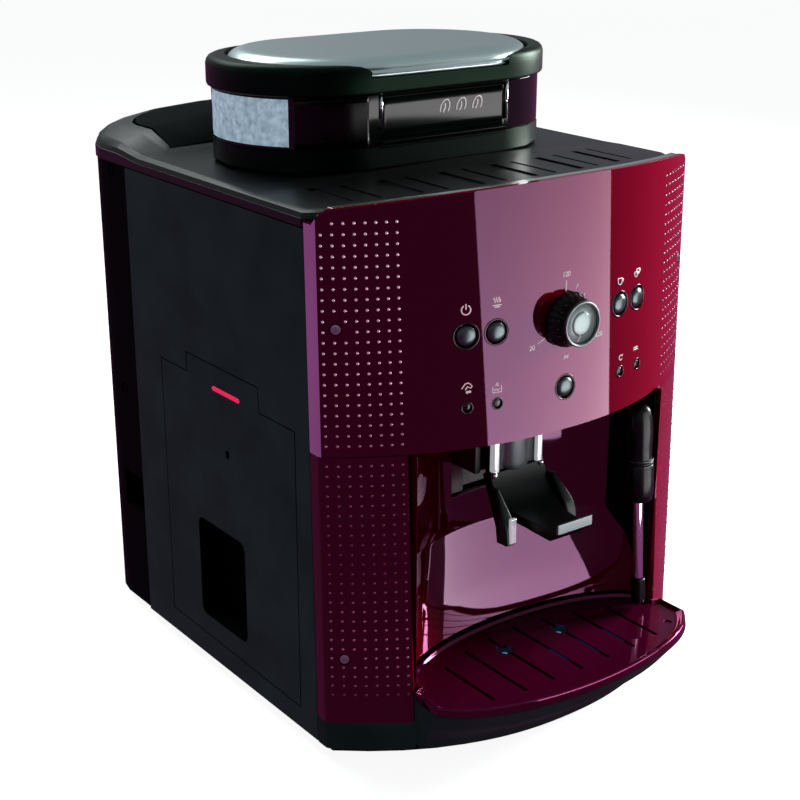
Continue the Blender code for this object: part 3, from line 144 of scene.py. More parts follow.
# ---------------- mesh helpers
def new_object(name, bm, material, smooth=True):
    bmesh.ops.recalc_face_normals(bm, faces=bm.faces[:])
    mesh = bpy.data.meshes.new(name)
    bm.to_mesh(mesh)
    bm.free()
    obj = bpy.data.objects.new(name, mesh)
    bpy.context.scene.collection.objects.link(obj)
    mesh.materials.append(material)
    if smooth:
        mesh.shade_smooth()
    return obj


def loft(name, rings, material, cap=True):
    """Skin through closed rings that all have the same number of points."""
    bm = bmesh.new()
    loops = [[bm.verts.new(point) for point in ring] for ring in rings]
    count = len(rings[0])
    for lower, upper in zip(loops, loops[1:]):
        for i in range(count):
            j = (i + 1) % count
            bm.faces.new((lower[i], lower[j], upper[j], upper[i]))
    if cap:
        bm.faces.new(list(reversed(loops[0])))
        bm.faces.new(loops[-1])
    return new_object(name, bm, material)


def shell(name, outer_rows, inner_rows, material):
    """Closed sheet with an outer and an inner face, each a grid of rows."""
    bm = bmesh.new()
    outer = [[bm.verts.new(point) for point in row] for row in outer_rows]
    inner = [[bm.verts.new(point) for point in row] for row in inner_rows]
    rows, columns = len(outer), len(outer[0])
    for r in range(rows - 1):
        for c in range(columns - 1):
            bm.faces.new((outer[r][c], outer[r][c + 1], outer[r + 1][c + 1], outer[r + 1][c]))
            bm.faces.new((inner[r][c], inner[r + 1][c], inner[r + 1][c + 1], inner[r][c + 1]))
        for c in (0, columns - 1):
            bm.faces.new((outer[r][c], outer[r + 1][c], inner[r + 1][c], inner[r][c]))
    for c in range(columns - 1):
        for r in (0, rows - 1):
            bm.faces.new((outer[r][c], outer[r][c + 1], inner[r][c + 1], inner[r][c]))
    return new_object(name, bm, material)


def turned(name, profile, origin, direction, material, sides=64):
    """Turned solid: profile is (radius, distance) along a direction from an origin."""
    turn = Vector(direction).to_track_quat("Z", "Y")
    rings = [[Vector(origin) + turn @ Vector((u, v, along))
              for u, v in circle(max(radius, 1e-5), sides)] for radius, along in profile]
    return loft(name, rings, material)


def soften(obj, width, segments=2, angle=35.0):
    """Rounded edges that catch the light, with the flat faces kept flat."""
    bevel = obj.modifiers.new("edges", "BEVEL")
    bevel.width = width
    bevel.segments = segments
    bevel.limit_method = "ANGLE"
    bevel.angle_limit = math.radians(angle)
    bevel.use_clamp_overlap = True
    weighted = obj.modifiers.new("flat shading", "WEIGHTED_NORMAL")
    weighted.mode = "FACE_AREA"
    weighted.weight = 80
    return obj


def cut(obj, cutters):
    """Subtract temporary solids, then work the result out."""
    for cutter in cutters:
        modifier = obj.modifiers.new("cut", "BOOLEAN")
        modifier.object = cutter
        modifier.operation = "DIFFERENCE"
        modifier.solver = "EXACT"
    bpy.context.view_layer.update()
    depsgraph = bpy.context.evaluated_depsgraph_get()
    mesh = bpy.data.meshes.new_from_object(obj.evaluated_get(depsgraph))
    obj.modifiers.clear()
    obj.data = mesh
    for cutter in cutters:
        bpy.data.objects.remove(cutter, do_unlink=True)
    mesh.shade_smooth()
    mesh.set_sharp_from_angle(angle=math.radians(35))
    return obj


def bar(name, start, end, radius, material=None, sides=32):
    start, end = Vector(start), Vector(end)
    profile = [(radius, 0), (radius, (end - start).length)]
    return turned(name, profile, start, end - start, material or NO_MATERIAL, sides)


def block(name, low, high, material=None):
    ring = [(low[0], low[1]), (high[0], low[1]), (high[0], high[1]), (low[0], high[1])]
    return loft(name, [raised(ring, low[2]), raised(ring, high[2])], material or NO_MATERIAL)


def stroke(name, lines, radius, material):
    """Thin printed line work: each line is a list of points."""
    curve = bpy.data.curves.new(name, "CURVE")
    curve.dimensions = "3D"
    curve.bevel_depth = radius
    curve.bevel_resolution = 1
    curve.use_fill_caps = True
    for points in lines:
        spline = curve.splines.new("POLY")
        spline.points.add(len(points) - 1)
        for target, point in zip(spline.points, points):
            target.co = (*point, 1)
    obj = bpy.data.objects.new(name, curve)
    bpy.context.scene.collection.objects.link(obj)
    curve.materials.append(material)
    return obj


def place(obj, body, slot, *replaced):
    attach(obj, body)
    if replaced:
        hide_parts(*replaced)
    return obj


# ---------------- materials
def add_node(tree, kind, **values):
    """New shader node with its inputs set; an underscore in a name stands for a space."""
    node = tree.nodes.new("ShaderNode" + kind)
    for name, value in values.items():
        node.inputs[name.replace("_", " ")].default_value = value
    return node


def new_material(name):
    material = bpy.data.materials.new(name)
    material.use_nodes = True
    return material, material.node_tree, material.node_tree.links


def surface(name, colour, roughness, metallic=0.0, variation=0.08, grain=700.0, relief=0.00002,
            ior=1.5, tint=None, coat=0.0, transmission=0.0, patch=35.0, stretch=(1.0, 1.0, 1.0),
            shine=0.5, glow=0.0):
    """Moulded or metal surface: slow colour drift, fine grain in the relief and in the gloss."""
    material, tree, links = new_material(name)
    shader = tree.nodes["Principled BSDF"]
    where = add_node(tree, "TexCoord")
    scale = add_node(tree, "Mapping", Scale=stretch)
    links.new(where.outputs["Object"], scale.inputs["Vector"])

    drift = add_node(tree, "TexNoise", Scale=patch, Detail=3)
    links.new(scale.outputs["Vector"], drift.inputs["Vector"])
    shades = add_node(tree, "ValToRGB")
    darker, lighter = shades.color_ramp.elements
    darker.position, lighter.position = 0.3, 0.7
    darker.color = (*[c * (1 - variation) for c in colour], 1)
    lighter.color = (*[min(1.0, c * (1 + variation)) for c in colour], 1)
    links.new(drift.outputs["Fac"], shades.inputs["Fac"])
    links.new(shades.outputs["Color"], shader.inputs["Base Color"])
    if glow:
        links.new(shades.outputs["Color"], shader.inputs["Emission Color"])
        shader.inputs["Emission Strength"].default_value = glow

    fine = add_node(tree, "TexNoise", Scale=grain, Detail=2)
    links.new(scale.outputs["Vector"], fine.inputs["Vector"])
    gloss = add_node(tree, "MapRange", To_Min=roughness * 0.85, To_Max=roughness * 1.15)
    links.new(fine.outputs["Fac"], gloss.inputs["Value"])
    links.new(gloss.outputs["Result"], shader.inputs["Roughness"])
    if relief:
        bump = add_node(tree, "Bump", Strength=0.5, Distance=relief)
        links.new(fine.outputs["Fac"], bump.inputs["Height"])
        links.new(bump.outputs["Normal"], shader.inputs["Normal"])
    levels = {"Metallic": metallic, "IOR": ior, "Specular IOR Level": shine, "Coat Weight": coat,
              "Transmission Weight": transmission}
    for level, value in levels.items():
        shader.inputs[level].default_value = value
    if tint:
        shader.inputs["Specular Tint"].default_value = (*tint, 1)
    return material


NO_MATERIAL = bpy.data.materials.new("cutter")
MAGENTA = (0.92, 0.40, 0.78)
TEAL = (0.26, 1.0, 0.50)          # what black plastic gives back of the pinkish surroundings
RED = surface("red_lacquer", (0.40, 0.0008, 0.014), 0.03, ior=1.62, tint=MAGENTA, variation=0.05,
              grain=260.0, relief=0.0, patch=9.0)
RED_PLATE = surface("red_plate_lacquer", (0.16, 0.002, 0.045), 0.045, metallic=0.45, ior=1.75,
                    tint=MAGENTA, variation=0.05, grain=260.0, relief=0.0, patch=9.0)
BLACK = surface("satin_black", (0.0055, 0.0068, 0.0075), 0.38, ior=1.4, variation=0.2,
                relief=0.00006, grain=1600.0, tint=TEAL, shine=0.30)
# Painted light: the side panels' black carries a faint glow (0.75) that stands for the soft light on their
# flat faces.
SIDE_BLACK = surface("side_panel_black", (0.0070, 0.0120, 0.0130), 0.50, shine=0.08, variation=0.2,
        relief=0.00008, grain=1300.0, tint=TEAL, glow=0.75)
# Painted light: the tray's black carries a faint glow (0.7); it is also the painted shade at the foot of
# the columns.
TRAY_BLACK = surface("tray_black", (0.0050, 0.0085, 0.0095), 0.55, shine=0.06, variation=0.2,
        relief=0.00006, grain=1300.0, tint=TEAL, glow=0.7)
# Rear cover and tank lid finish; also the painted shade in the side panels' recesses.
REAR_BLACK = surface("rear_black", (0.0040, 0.0050, 0.0060), 0.60, shine=0.03, variation=0.2,
        relief=0.00008, grain=1300.0, tint=TEAL)
# Painted reflection: a lavender colour with a glow (0.85) on the fascia's left side strip stands for the
# reflection seen there.
EDGE_REFLECTION_PAINT = surface("painted_edge_reflection", (0.190, 0.050, 0.165), 0.30, variation=0.10, shine=0.1,
        relief=0.0, glow=0.85, patch=12.0)
DECK_BLACK = surface("deck_black", (0.006, 0.0075, 0.008), 0.34, ior=1.45, variation=0.2,
        relief=0.00005, grain=1500.0)
GLOSS_BLACK = surface("gloss_black", (0.004, 0.0045, 0.005), 0.10, variation=0.2, relief=0.0)
DARK = surface("inner_plastic", (0.020, 0.020, 0.022), 0.5, variation=0.2)
SMOKE = surface("smoked_plastic", (0.006, 0.007, 0.007), 0.07, variation=0.3, relief=0.0)
GREY = surface("grey_plastic", (0.42, 0.44, 0.40), 0.42)
SATIN = surface("satin_metal", (0.80, 0.94, 0.94), 0.30, metallic=1.0, variation=0.05,
                stretch=(1, 40, 1), grain=240.0, relief=0.000004)
TRIM = surface("trim_metal", (0.92, 0.93, 0.94), 0.22, metallic=1.0, variation=0.04,
               stretch=(1, 30, 1))
CHROME = surface("chrome", (0.88, 0.90, 0.91), 0.05, metallic=1.0, variation=0.03, relief=0.0)
# Painted highlight: chrome with a glow (0.42) so that the spout's edge strips stay bright.
GLOWING_SPOUT_CHROME = surface("spout_chrome_painted_glow", (0.70, 0.76, 0.77), 0.16, metallic=1.0, variation=0.05,
        relief=0.0, glow=0.42)
BUTTON = surface("button_metal", (0.085, 0.105, 0.108), 0.30, metallic=1.0, variation=0.08,
                 relief=0.0)
CAP_GREY = surface("cap_grey", (0.20, 0.235, 0.235), 0.42, metallic=1.0, variation=0.08,
                   relief=0.000004)
KNOB = surface("knob_black", (0.0035, 0.0045, 0.005), 0.34, shine=0.3, variation=0.2,
               relief=0.00003)
LAMP_RED = surface("lamp_red", (0.10, 0.001, 0.012), 0.15, relief=0.0)
LAMP_CLEAR = surface("lamp_clear", (0.42, 0.30, 0.38), 0.3, relief=0.0)
WAND = surface("wand_black", (0.0030, 0.0042, 0.0045), 0.28, shine=0.25, variation=0.2, relief=0.0)
POCKET = surface("pocket_black", (0.0020, 0.0022, 0.0025), 0.4, shine=0.05, variation=0.2,
                 relief=0.00002)
COLUMN_GREY = surface("column_grey", (0.16, 0.19, 0.195), 0.36, metallic=1.0, variation=0.06,
        relief=0.0)
SPOUT_BLACK = surface("spout_black", (0.0022, 0.0034, 0.0036), 0.30, shine=0.22, variation=0.2,
        relief=0.00001)
STEEL = surface("steel", (0.48, 0.49, 0.51), 0.28, metallic=1.0, variation=0.1)
ALLOY = surface("cast_alloy", (0.55, 0.56, 0.57), 0.48, metallic=1.0, variation=0.12,
                relief=0.0001)
BRASS = surface("brass", (0.72, 0.50, 0.20), 0.28, metallic=1.0)
RUBBER = surface("rubber", (0.012, 0.012, 0.013), 0.75, variation=0.25, relief=0.00008)
BOARD = surface("circuit_board", (0.02, 0.13, 0.05), 0.4, variation=0.3, patch=160.0)
# Painted light: the float tips (0.6) and the drawer marker (0.8) glow though they are no lamps.
BLUE = surface("float_blue", (0.05, 0.35, 0.75), 0.3, glow=0.6)
SIGNAL = surface("signal_red", (0.95, 0.02, 0.10), 0.25, coat=0.5, glow=0.8)
TANK = surface("tank_plastic", (0.32, 0.36, 0.39), 0.18, transmission=0.85)
# Painted light: the clear end window glows (0.62), standing for the bright background seen through it.
FROST = surface("glowing_clear_window", (0.40, 0.55, 0.66), 0.35, variation=0.30, patch=300.0, grain=900.0,
                relief=0.0002, glow=0.62)
# White print with a painted glow (0.5) so that it stays bright.
PRINT = surface("printed_white", (0.86, 0.78, 0.83), 0.5, glow=0.50)
BEAN_GLASS = surface("window_over_beans", (0.0055, 0.0040, 0.0035), 0.22, variation=0.9,
        patch=230.0, relief=0.0, shine=0.2)
PANE = surface("window_pane", (0.0030, 0.0042, 0.0042), 0.10, variation=0.4, relief=0.0, patch=60.0)


def painted_light_pip_material(name, painted_light_level):
    """Small pips with painted light: a colour ramp and glow make them brightest at the top of the columns
    and fading towards the table, standing for how the light falls on them.
    """
    material = surface(name, (0.5, 0.2, 0.35), 0.25)
    tree, links = material.node_tree, material.node_tree.links
    shader = tree.nodes["Principled BSDF"]
    where = add_node(tree, "TexCoord")
    axes = add_node(tree, "SeparateXYZ")
    height = add_node(tree, "MapRange", From_Min=0.03, From_Max=PANEL_TOP)
    ramp = add_node(tree, "ValToRGB")
    stops = ramp.color_ramp.elements
    tones = ((0.0, (0.05, 0.005, 0.02)), (0.12, (0.36, 0.10, 0.20)), (0.30, (0.12, 0.01, 0.05)),
             (0.50, (0.22, 0.05, 0.12)), (0.66, (0.75, 0.42, 0.60)), (1.0, (0.95, 0.72, 0.86)))
    stops[0].position, stops[1].position = tones[0][0], tones[-1][0]
    for position, _ in tones[1:-1]:
        stops.new(position)
    for stop, (_, colour) in zip(stops, tones):
        stop.color = (*[channel * painted_light_level for channel in colour], 1)
    links.new(where.outputs["Object"], axes.inputs["Vector"])
    links.new(axes.outputs["Z"], height.inputs["Value"])
    links.new(height.outputs["Result"], ramp.inputs["Fac"])
    links.new(ramp.outputs["Color"], shader.inputs["Base Color"])
    links.new(ramp.outputs["Color"], shader.inputs["Emission Color"])
    shader.inputs["Emission Strength"].default_value = 0.28 * painted_light_level
    shader.inputs["Metallic"].default_value = 0.75
    return material


# Painted light: a bright lit copy for the left pips and a dim shaded copy for the right pips.
PIP = {-1: painted_light_pip_material("pip_painted_lit", 1.0), 1: painted_light_pip_material("pip_painted_shade", 0.35)}


# ---------------- carried-over CAD nodes
def dress(node, material, bevel=0.0004):
    """Give a CAD node its finish, and round its edges so that they catch the light."""
    obj = NODES[node]
    obj.data.materials.clear()
    obj.data.materials.append(material)
    obj.data.shade_smooth()
    if bevel:
        weld_points = obj.modifiers.new("weld", "WELD")
        weld_points.merge_threshold = 1e-5
        flat = obj.modifiers.new("flat faces", "DECIMATE")
        flat.decimate_type = "DISSOLVE"
        flat.angle_limit = math.radians(1.0)
        soften(obj, bevel)
    if material == SIDE_BLACK:
        paint_shade_in_recesses(obj)
    return obj


def paint_shade_in_recesses(obj):
    """Painted light and shade: the flat outer face keeps the faintly glowing side finish, and every face
    set back from it gets the dark rear finish as painted shade.
    """
    obj.data.materials.append(REAR_BLACK)
    reach = [abs((obj.matrix_world @ face.center).x) for face in obj.data.polygons]
    for face, distance in zip(obj.data.polygons, reach):
        face.material_index = 0 if distance > max(reach) - 0.0012 else 1


FEET = ("front_left_foot", "front_right_foot", "rear_left_foot", "rear_right_foot")
CAD_FINISH = (
    (BLACK, 0.0006, ("base_pan",)), (BLACK, 0.0005, ("hopper_base",)),
    (SIDE_BLACK, 0.0005, ("left_side_panel", "right_side_panel", "drawer_door")),
    (REAR_BLACK, 0.0006, ("rear_cover", "tank_lid")), (DECK_BLACK, 0.0005, ("top_deck",)),
    (RUBBER, 0.0004, ("cord_gland",) + FEET), (TRIM, 0.0004, ("deck_trim",)),
    (POCKET, 0.0003, ("steam_pocket",)), (SMOKE, 0, ("light_guide",)),
    (BOARD, 0.0002, ("control_board",)), (DARK, 0.0004, ("grind_dial", "tank_bay_wall")),
    (DARK, 0.0005, ("outlet_guide", "tank_dock", "brew_frame")), (DARK, 0.0006, ("grounds_bin",)),
    (ALLOY, 0.0004, ("grinder_housing",)), (ALLOY, 0.0005, ("thermoblock",)),
    (STEEL, 0.0002, ("lower_burr",)), (STEEL, 0.0004, ("grinder_motor", "water_pump")),
    (CAP_GREY, 0.0003, ("spout_grip",)), (GREY, 0.0005, ("outlet_plate",)),
    (CHROME, 0.0002, ("steam_tube",)), (WAND, 0.0003, ("steam_tip",)),
    (BLUE, 0.0003, ("tray_float",)), (SIGNAL, 0.0003, ("drawer_marker",)),
    (TANK, 0.0006, ("water_tank",)), (BRASS, 0.0003, ("brew_piston",)),
)
for finish, edge, cad_nodes in CAD_FINISH:
    for cad_node in cad_nodes:
        dress(cad_node, finish, edge)


# ---------------- red fascia and columns
def fascia_plan(z, inner_end=None, samples=121):
    """Outline of the front skin in plan, from one side strip's rear edge to the other's."""
    turn = math.radians(54.4)
    tangent = CORNER_FILLET * math.tan(turn / 2)
    edge = front_edge_y(z)
    flange = edge + (FLANGE_Y - front_edge_y(PANEL_TOP))
    left = [(-HALF, y) for y in spread(flange, edge + tangent, 4)]
    centre = (-HALF + CORNER_FILLET, edge + tangent)
    for angle in spread(math.pi, math.pi + turn, 7)[1:]:
        left.append((centre[0] + CORNER_FILLET * math.cos(angle),
                     centre[1] + CORNER_FILLET * math.sin(angle)))
    start = left.pop()[0]
    stop = -start if inner_end is None else inner_end
    front = [(x, front_y(x, z)) for x in spread(start, stop, samples)]
    if inner_end is None:
        return left + front + [(-x, y) for x, y in reversed(left)]
    return left + front


def inward(path, distance):
    """The same outline moved inwards by a skin's thickness."""
    moved = []
    for i, (x, y) in enumerate(path):
        before, after = path[max(0, i - 1)], path[min(len(path) - 1, i + 1)]
        along = Vector((after[0] - before[0], after[1] - before[1])).normalized()
        moved.append((x - along.y * distance, y + along.x * distance))
    return moved


def fascia_top(x):
    fall = PANEL_CROWN * (x / HALF) ** 2
    past = max(0.0, abs(x) - (HALF - TOP_CORNER))
    return PANEL_TOP - fall - (TOP_CORNER - math.sqrt(max(0.0, TOP_CORNER ** 2 - past ** 2)))


def centre_on_front(node):
    """Across and up position of a CAD node's middle."""
    low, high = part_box(node)
    return (low.x + high.x) / 2, (low.z + high.z) / 2


BUTTONS = {name: centre_on_front(name) for name in
           ("power_button", "steam_button", "one_cup_button", "two_cup_button", "program_button")}


LAMPS = {"grounds_lamp": (-0.0576, 0.1890), "water_lamp": (-0.0416, 0.1890),
         "clean_lamp": (0.0416, 0.1890), "descale_lamp": (0.0576, 0.1890)}


def outward(x, z):
    angle = front_slope(x, z)
    return Vector((math.sin(angle), -math.cos(angle), 0))


def on_front(x, z, lift=0.0):
    return Vector((x, front_y(x, z), z)) + outward(x, z) * lift


def drill(x, z, radius, depth, sides):
    """Cutter for a round hole that runs straight into the front skin."""
    return bar("hole", on_front(x, z, 0.004), on_front(x, z, -depth), radius, sides=sides)


def build_fascia():
    outer, inner = [], []
    for level in spread(PANEL_BOTTOM, PANEL_TOP, 25):
        share = (level - PANEL_BOTTOM) / (PANEL_TOP - PANEL_BOTTOM)
        path = fascia_plan(level)
        outer_row, inner_row = [], []
        for (x, y), (u, v) in zip(path, inward(path, PANEL_SKIN)):
            z = PANEL_BOTTOM + share * (fascia_top(x) - PANEL_BOTTOM)
            lean = front_edge_y(z) - front_edge_y(level)
            outer_row.append((x, y + lean, z))
            inner_row.append((u, v + lean, z))
        outer.append(outer_row)
        inner.append(inner_row)
    fascia = shell("fascia", outer, inner, RED)
    holes = [drill(x, z, 0.0060, 0.006, 48) for x, z in BUTTONS.values()]
    holes += [drill(x, z, 0.0025, 0.006, 32) for x, z in LAMPS.values()]
    holes.append(drill(0, DIAL_HEIGHT, 0.0046, 0.006, 32))
    holes += [drill(*screw_place(side, True), 0.0032, 0.0014, 28) for side in (-1, 1)]
    cut(fascia, holes)
    soften(fascia, 0.0005)
    # Painted reflection: only the faces of the left side strip get the lavender glowing finish.
    fascia.data.materials.append(EDGE_REFLECTION_PAINT)
    for face in fascia.data.polygons:
        if face.normal.x < -0.80 and face.center.x < -HALF + 0.004:
            face.material_index = len(fascia.data.materials) - 1
    return place(fascia, "housing", "gloss_red", "control_panel")


def screw_place(side, upper):
    return centre_on_front(f"{'upper' if upper else 'lower'}_{SIDES[side]}_screw")


def build_column(side):
    outer, inner = [], []
    for z in spread(COLUMN_BOTTOM, COLUMN_TOP, 22):
        path = fascia_plan(z, -COLUMN_INNER - 0.0015, 34)
        corner_y = path[-1][1]
        path += [(-COLUMN_INNER - 0.0006, corner_y + 0.0003),
                 (-COLUMN_INNER - 0.0001, corner_y + 0.0010),
                 (-COLUMN_INNER, corner_y + 0.0020)]
        path += [(-COLUMN_INNER, y) for y in spread(corner_y + 0.003, -0.0845, 6)]
        outer.append([(side * -x, y, z) for x, y in path])
        inner.append([(side * -x, y, z) for x, y in inward(path, 0.0028)])
    column = shell(f"{SIDES[side]}_pillar", outer, inner, RED)
    cut(column, [drill(*screw_place(side, False), 0.0032, 0.0014, 28)])
    soften(column, 0.0006)
    # Painted shade: the lowest 14 mm of each column get the dark, faintly glowing tray finish, standing
    # for the shade near the table.
    column.data.materials.append(TRAY_BLACK)
    for face in column.data.polygons:
        if face.center.z < COLUMN_BOTTOM + 0.014:
            face.material_index = len(column.data.materials) - 1
    return place(column, "housing", "gloss_red", f"{SIDES[side]}_column")


def build_pips(side):
    """Grid of small raised pips down the outer edge of the fascia and column."""
    bm = bmesh.new()
    radius = 0.00074
    screws = (screw_place(side, True), screw_place(side, False))
    for column in range(8):
        x = side * (0.1199 - 0.0045 * column)
        for row in range(48):
            z = 0.2828 - 0.0052 * row
            near_screw = any(math.hypot(x - sx, z - sz) < 0.0042 for sx, sz in screws)
            if row + column == 0 or abs(z - PANEL_BOTTOM) < 0.0016 or near_screw:
                continue
            out = outward(x, z)
            turn = out.to_track_quat("Z", "Y")
            base = on_front(x, z, -0.0001)
            rings = [[bm.verts.new(base + turn @ Vector((u, v, lift)))
                      for u, v in circle(radius * size, 8)]
                     for size, lift in ((1.0, 0.0), (0.86, 0.00026), (0.45, 0.00042))]
            for low, high in zip(rings, rings[1:]):
                for i in range(8):
                    j = (i + 1) % 8
                    bm.faces.new((low[i], low[j], high[j], high[i]))
            bm.faces.new(rings[-1])
            bm.faces.new(list(reversed(rings[0])))
    return place(new_object(f"{SIDES[side]}_pips", bm, PIP[side]), "housing", "gloss_red")


def build_screw(side, upper):
    x, z = screw_place(side, upper)
    name = f"{'upper' if upper else 'lower'}_{SIDES[side]}"
    head = turned(name + "_screw_head", [(0.0029, 0), (0.0029, 0.0004), (0.0024, 0.0010),
                                         (0.0012, 0.0013)],
                  on_front(x, z, -0.0013), outward(x, z), STEEL, 28)
    out = outward(x, z)
    across = Vector((out.y, -out.x, 0)).normalized()
    blades = []
    for direction in (across, Vector((0, 0, 1))):
        centre = on_front(x, z, 0.0)
        side_way = out.cross(direction).normalized()
        ring = [centre + direction * a * 0.0017 + side_way * b * 0.00035
                for a, b in ((-1, -1), (1, -1), (1, 1), (-1, 1))]
        blades.append(loft("blade", [[p - out * 0.0009 for p in ring],
                [p + out * 0.0010 for p in ring]], NO_MATERIAL))
    cut(head, blades)
    return place(head, "housing", "steel", name + "_screw")


# ---------------- cup bay
def build_bay_wall():
    angles = spread(math.pi, 0, 91)
    heights = spread(BAY_LOW.z, 0.0905, 12) + [0.0918, 0.0926, 0.0932, 0.0942] \
        + spread(0.0965, BAY_HIGH.z, 12)
    outer, inner = [], []
    for z in heights:
        depth = bay_depth(z)
        outer.append([(BAY_END * math.cos(a), BAY_FRONT_Y + depth * math.sin(a), z)
                      for a in angles])
        inner.append([((BAY_END + 0.0003) * math.cos(a),
                       BAY_FRONT_Y + (depth + 0.0026) * math.sin(a) + 0.0002, z) for a in angles])
    wall = shell("bay_wall", outer, inner, RED)
    low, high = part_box("outlet_plate")
    slot = block("slot", (low.x - 0.0007, -0.0690, low.z - 0.0014), (high.x + 0.0007, -0.040, 0.18))
    cut(wall, [slot])
    soften(wall, 0.0004)
    return place(wall, "housing", "gloss_red", "bay_liner")


def build_spout():
    """Chrome-edged column, flared black skirt, pull tongue and two pouring ends."""
    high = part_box("spout_carriage")[1]
    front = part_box("spout_rails")[0].y + 0.0006
    foot = high.z - 0.0718
    pillar_rings = []
    for z, share in ((foot - 0.0006, 0.55), (foot + 0.0016, 0.86), (foot + 0.0050, 1.0),
                     (high.z, 1.0)):
        ring = [(0.0104 * share * math.sin(a), front + 0.0038 - 0.0066 * share * math.cos(a), z)
                for a in spread(-math.pi / 2, math.pi / 2, 29)]
        ring += [(0.0104 * share, front + 0.0060, z), (-0.0104 * share, front + 0.0060, z)]
        pillar_rings.append(ring)
    pillar = loft("spout_pillar", pillar_rings, COLUMN_GREY)
    pillar.data.set_sharp_from_angle(angle=math.radians(60))
    place(pillar, "spout", "gloss_black", "spout_carriage")
    backing = block("spout_backing", (-0.0168, front + 0.0012, foot - 0.0030),
                    (0.0168, front + 0.0066, high.z), SPOUT_BLACK)
    place(soften(backing, 0.0004), "spout", "gloss_black")
    for side in (-1, 1):
        label = SIDES[side]
        start, end = sorted((side * 0.0130, side * 0.0170))
        strip = block(f"spout_edge_{label}", (start, front - 0.0012, foot + 0.0018),
                      (end, front + 0.0030, high.z), GLOWING_SPOUT_CHROME)
        place(soften(strip, 0.0010, 3), "spout", "chrome")
        knuckle = bar(f"spout_knuckle_{label}", (side * 0.0150, front - 0.0006, foot + 0.0010),
                      (side * 0.0174, front - 0.0006, foot + 0.0010), 0.0017, CHROME, 24)
        place(knuckle, "spout", "chrome")
    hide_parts("spout_rails")

    rings = []
    shape = ((0.0020, 0.0000, 0.0186, 0.0000), (-0.0040, -0.0028, 0.0190, 0.0004),
             (-0.0090, -0.0068, 0.0190, 0.0016), (-0.0134, -0.0118, 0.0172, 0.0034),
             (-0.0160, -0.0180, 0.0146, 0.0046), (-0.0172, -0.0260, 0.0124, 0.0052),
             (-0.0178, -0.0360, 0.0118, 0.0056), (-0.0180, -0.0446, 0.0118, 0.0056))
    for drop, forward, half, thick in shape:
        z = foot + drop
        y = front + forward
        rear_y = y + 0.0068 - thick * 0.4
        low_z = z - 0.0016 - thick * 0.75
        rings.append([(-half, y, z), (-half * 0.6, y - 0.0003, z + 0.0002),
                      (0, y - 0.0004, z + 0.0003), (half * 0.6, y - 0.0003, z + 0.0002),
                      (half, y, z), (half - 0.0003, rear_y, low_z), (-half + 0.0003, rear_y, low_z)])
    skirt = loft("spout_skirt", rings, SPOUT_BLACK)
    place(soften(skirt, 0.0005, 3, 30), "spout", "gloss_black")
    for side in (-1, 1):
        label = SIDES[side]
        rings = []
        for drop, forward, wide in ((-0.0040, -0.0030, 0.0016), (-0.0110, -0.0095, 0.0030),
                (-0.0165, -0.0140, 0.0040), (-0.0215, -0.0165, 0.0042),
                (-0.0300, -0.0175, 0.0041)):
            x, y, z = side * (0.0216 - (0.0042 - wide) * 0.7), front + forward, foot + drop
            rings.append([(x + u * wide, y + v * 0.0046, z) for u, v in
                          ((-1, 0.6), (-0.86, -0.8), (-0.5, -1), (0.5, -1), (0.86, -0.8), (1, 0.6),
                           (0.6, 1), (-0.6, 1))])
        nozzle = loft(f"spout_nozzle_{label}", rings, SPOUT_BLACK)
        bore = bar("bore", (side * 0.0216, front - 0.0170, foot - 0.0330),
                   (side * 0.0216, front - 0.0170, foot - 0.0235), 0.0022)
        cut(nozzle, [bore])
        place(soften(nozzle, 0.0004), "spout", "gloss_black")
        # Painted highlight: only the left nozzle gets a glowing chrome strip on its front, for the bright
        # edge seen on that side.
        if side > 0:
            continue
        face = block(f"nozzle_highlight_strip_{label}", (side * 0.0216 - 0.0014, front - 0.0228, foot - 0.0290),
                     (side * 0.0216 + 0.0026, front - 0.0206, foot - 0.0150), GLOWING_SPOUT_CHROME)
        place(soften(face, 0.0006, 3), "spout", "chrome")


def build_wand():
    """Wand handle with two collars, in the wand's own tilted frame."""
    low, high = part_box("steam_arm")
    x, y = (low.x + high.x) / 2, (low.y + high.y) / 2
    lean = math.radians(4.0)
    along = Vector((0, math.sin(lean), math.cos(lean)))
    foot = Vector((x, y - math.tan(lean) * (high.z - low.z) / 2, low.z))
    length = (high.z - low.z) / math.cos(lean) - 0.0008
    profile = [(0.0040, 0.0000), (0.0066, 0.0016), (0.0075, 0.0046), (0.0077, 0.0090),
               (0.0077, 0.0208), (0.0073, 0.0216), (0.0073, 0.0224), (0.0077, 0.0230),
               (0.0076, 0.0238), (0.0068, 0.0246), (0.0064, 0.0262), (0.0067, 0.0320),
               (0.0072, 0.0410), (0.0069, 0.0480), (0.0060, 0.0530), (0.0044, 0.0560),
               (0.0020, length)]
    handle = turned("wand_handle", profile, foot, along, WAND, 48)
    place(handle, "steam_wand", "gloss_black", "steam_arm")
    for name, at in (("wand_ring_low", 0.0220), ("wand_ring_high", 0.0250)):
        ring = turned(name, [(0.0066, at - 0.0004), (0.0076, at - 0.0004), (0.0078, at),
                (0.0076, at + 0.0004), (0.0066, at + 0.0004),
                (0.0066, at - 0.0004)], foot, along, BUTTON, 48)
        place(weld(ring), "steam_wand", "gloss_black")


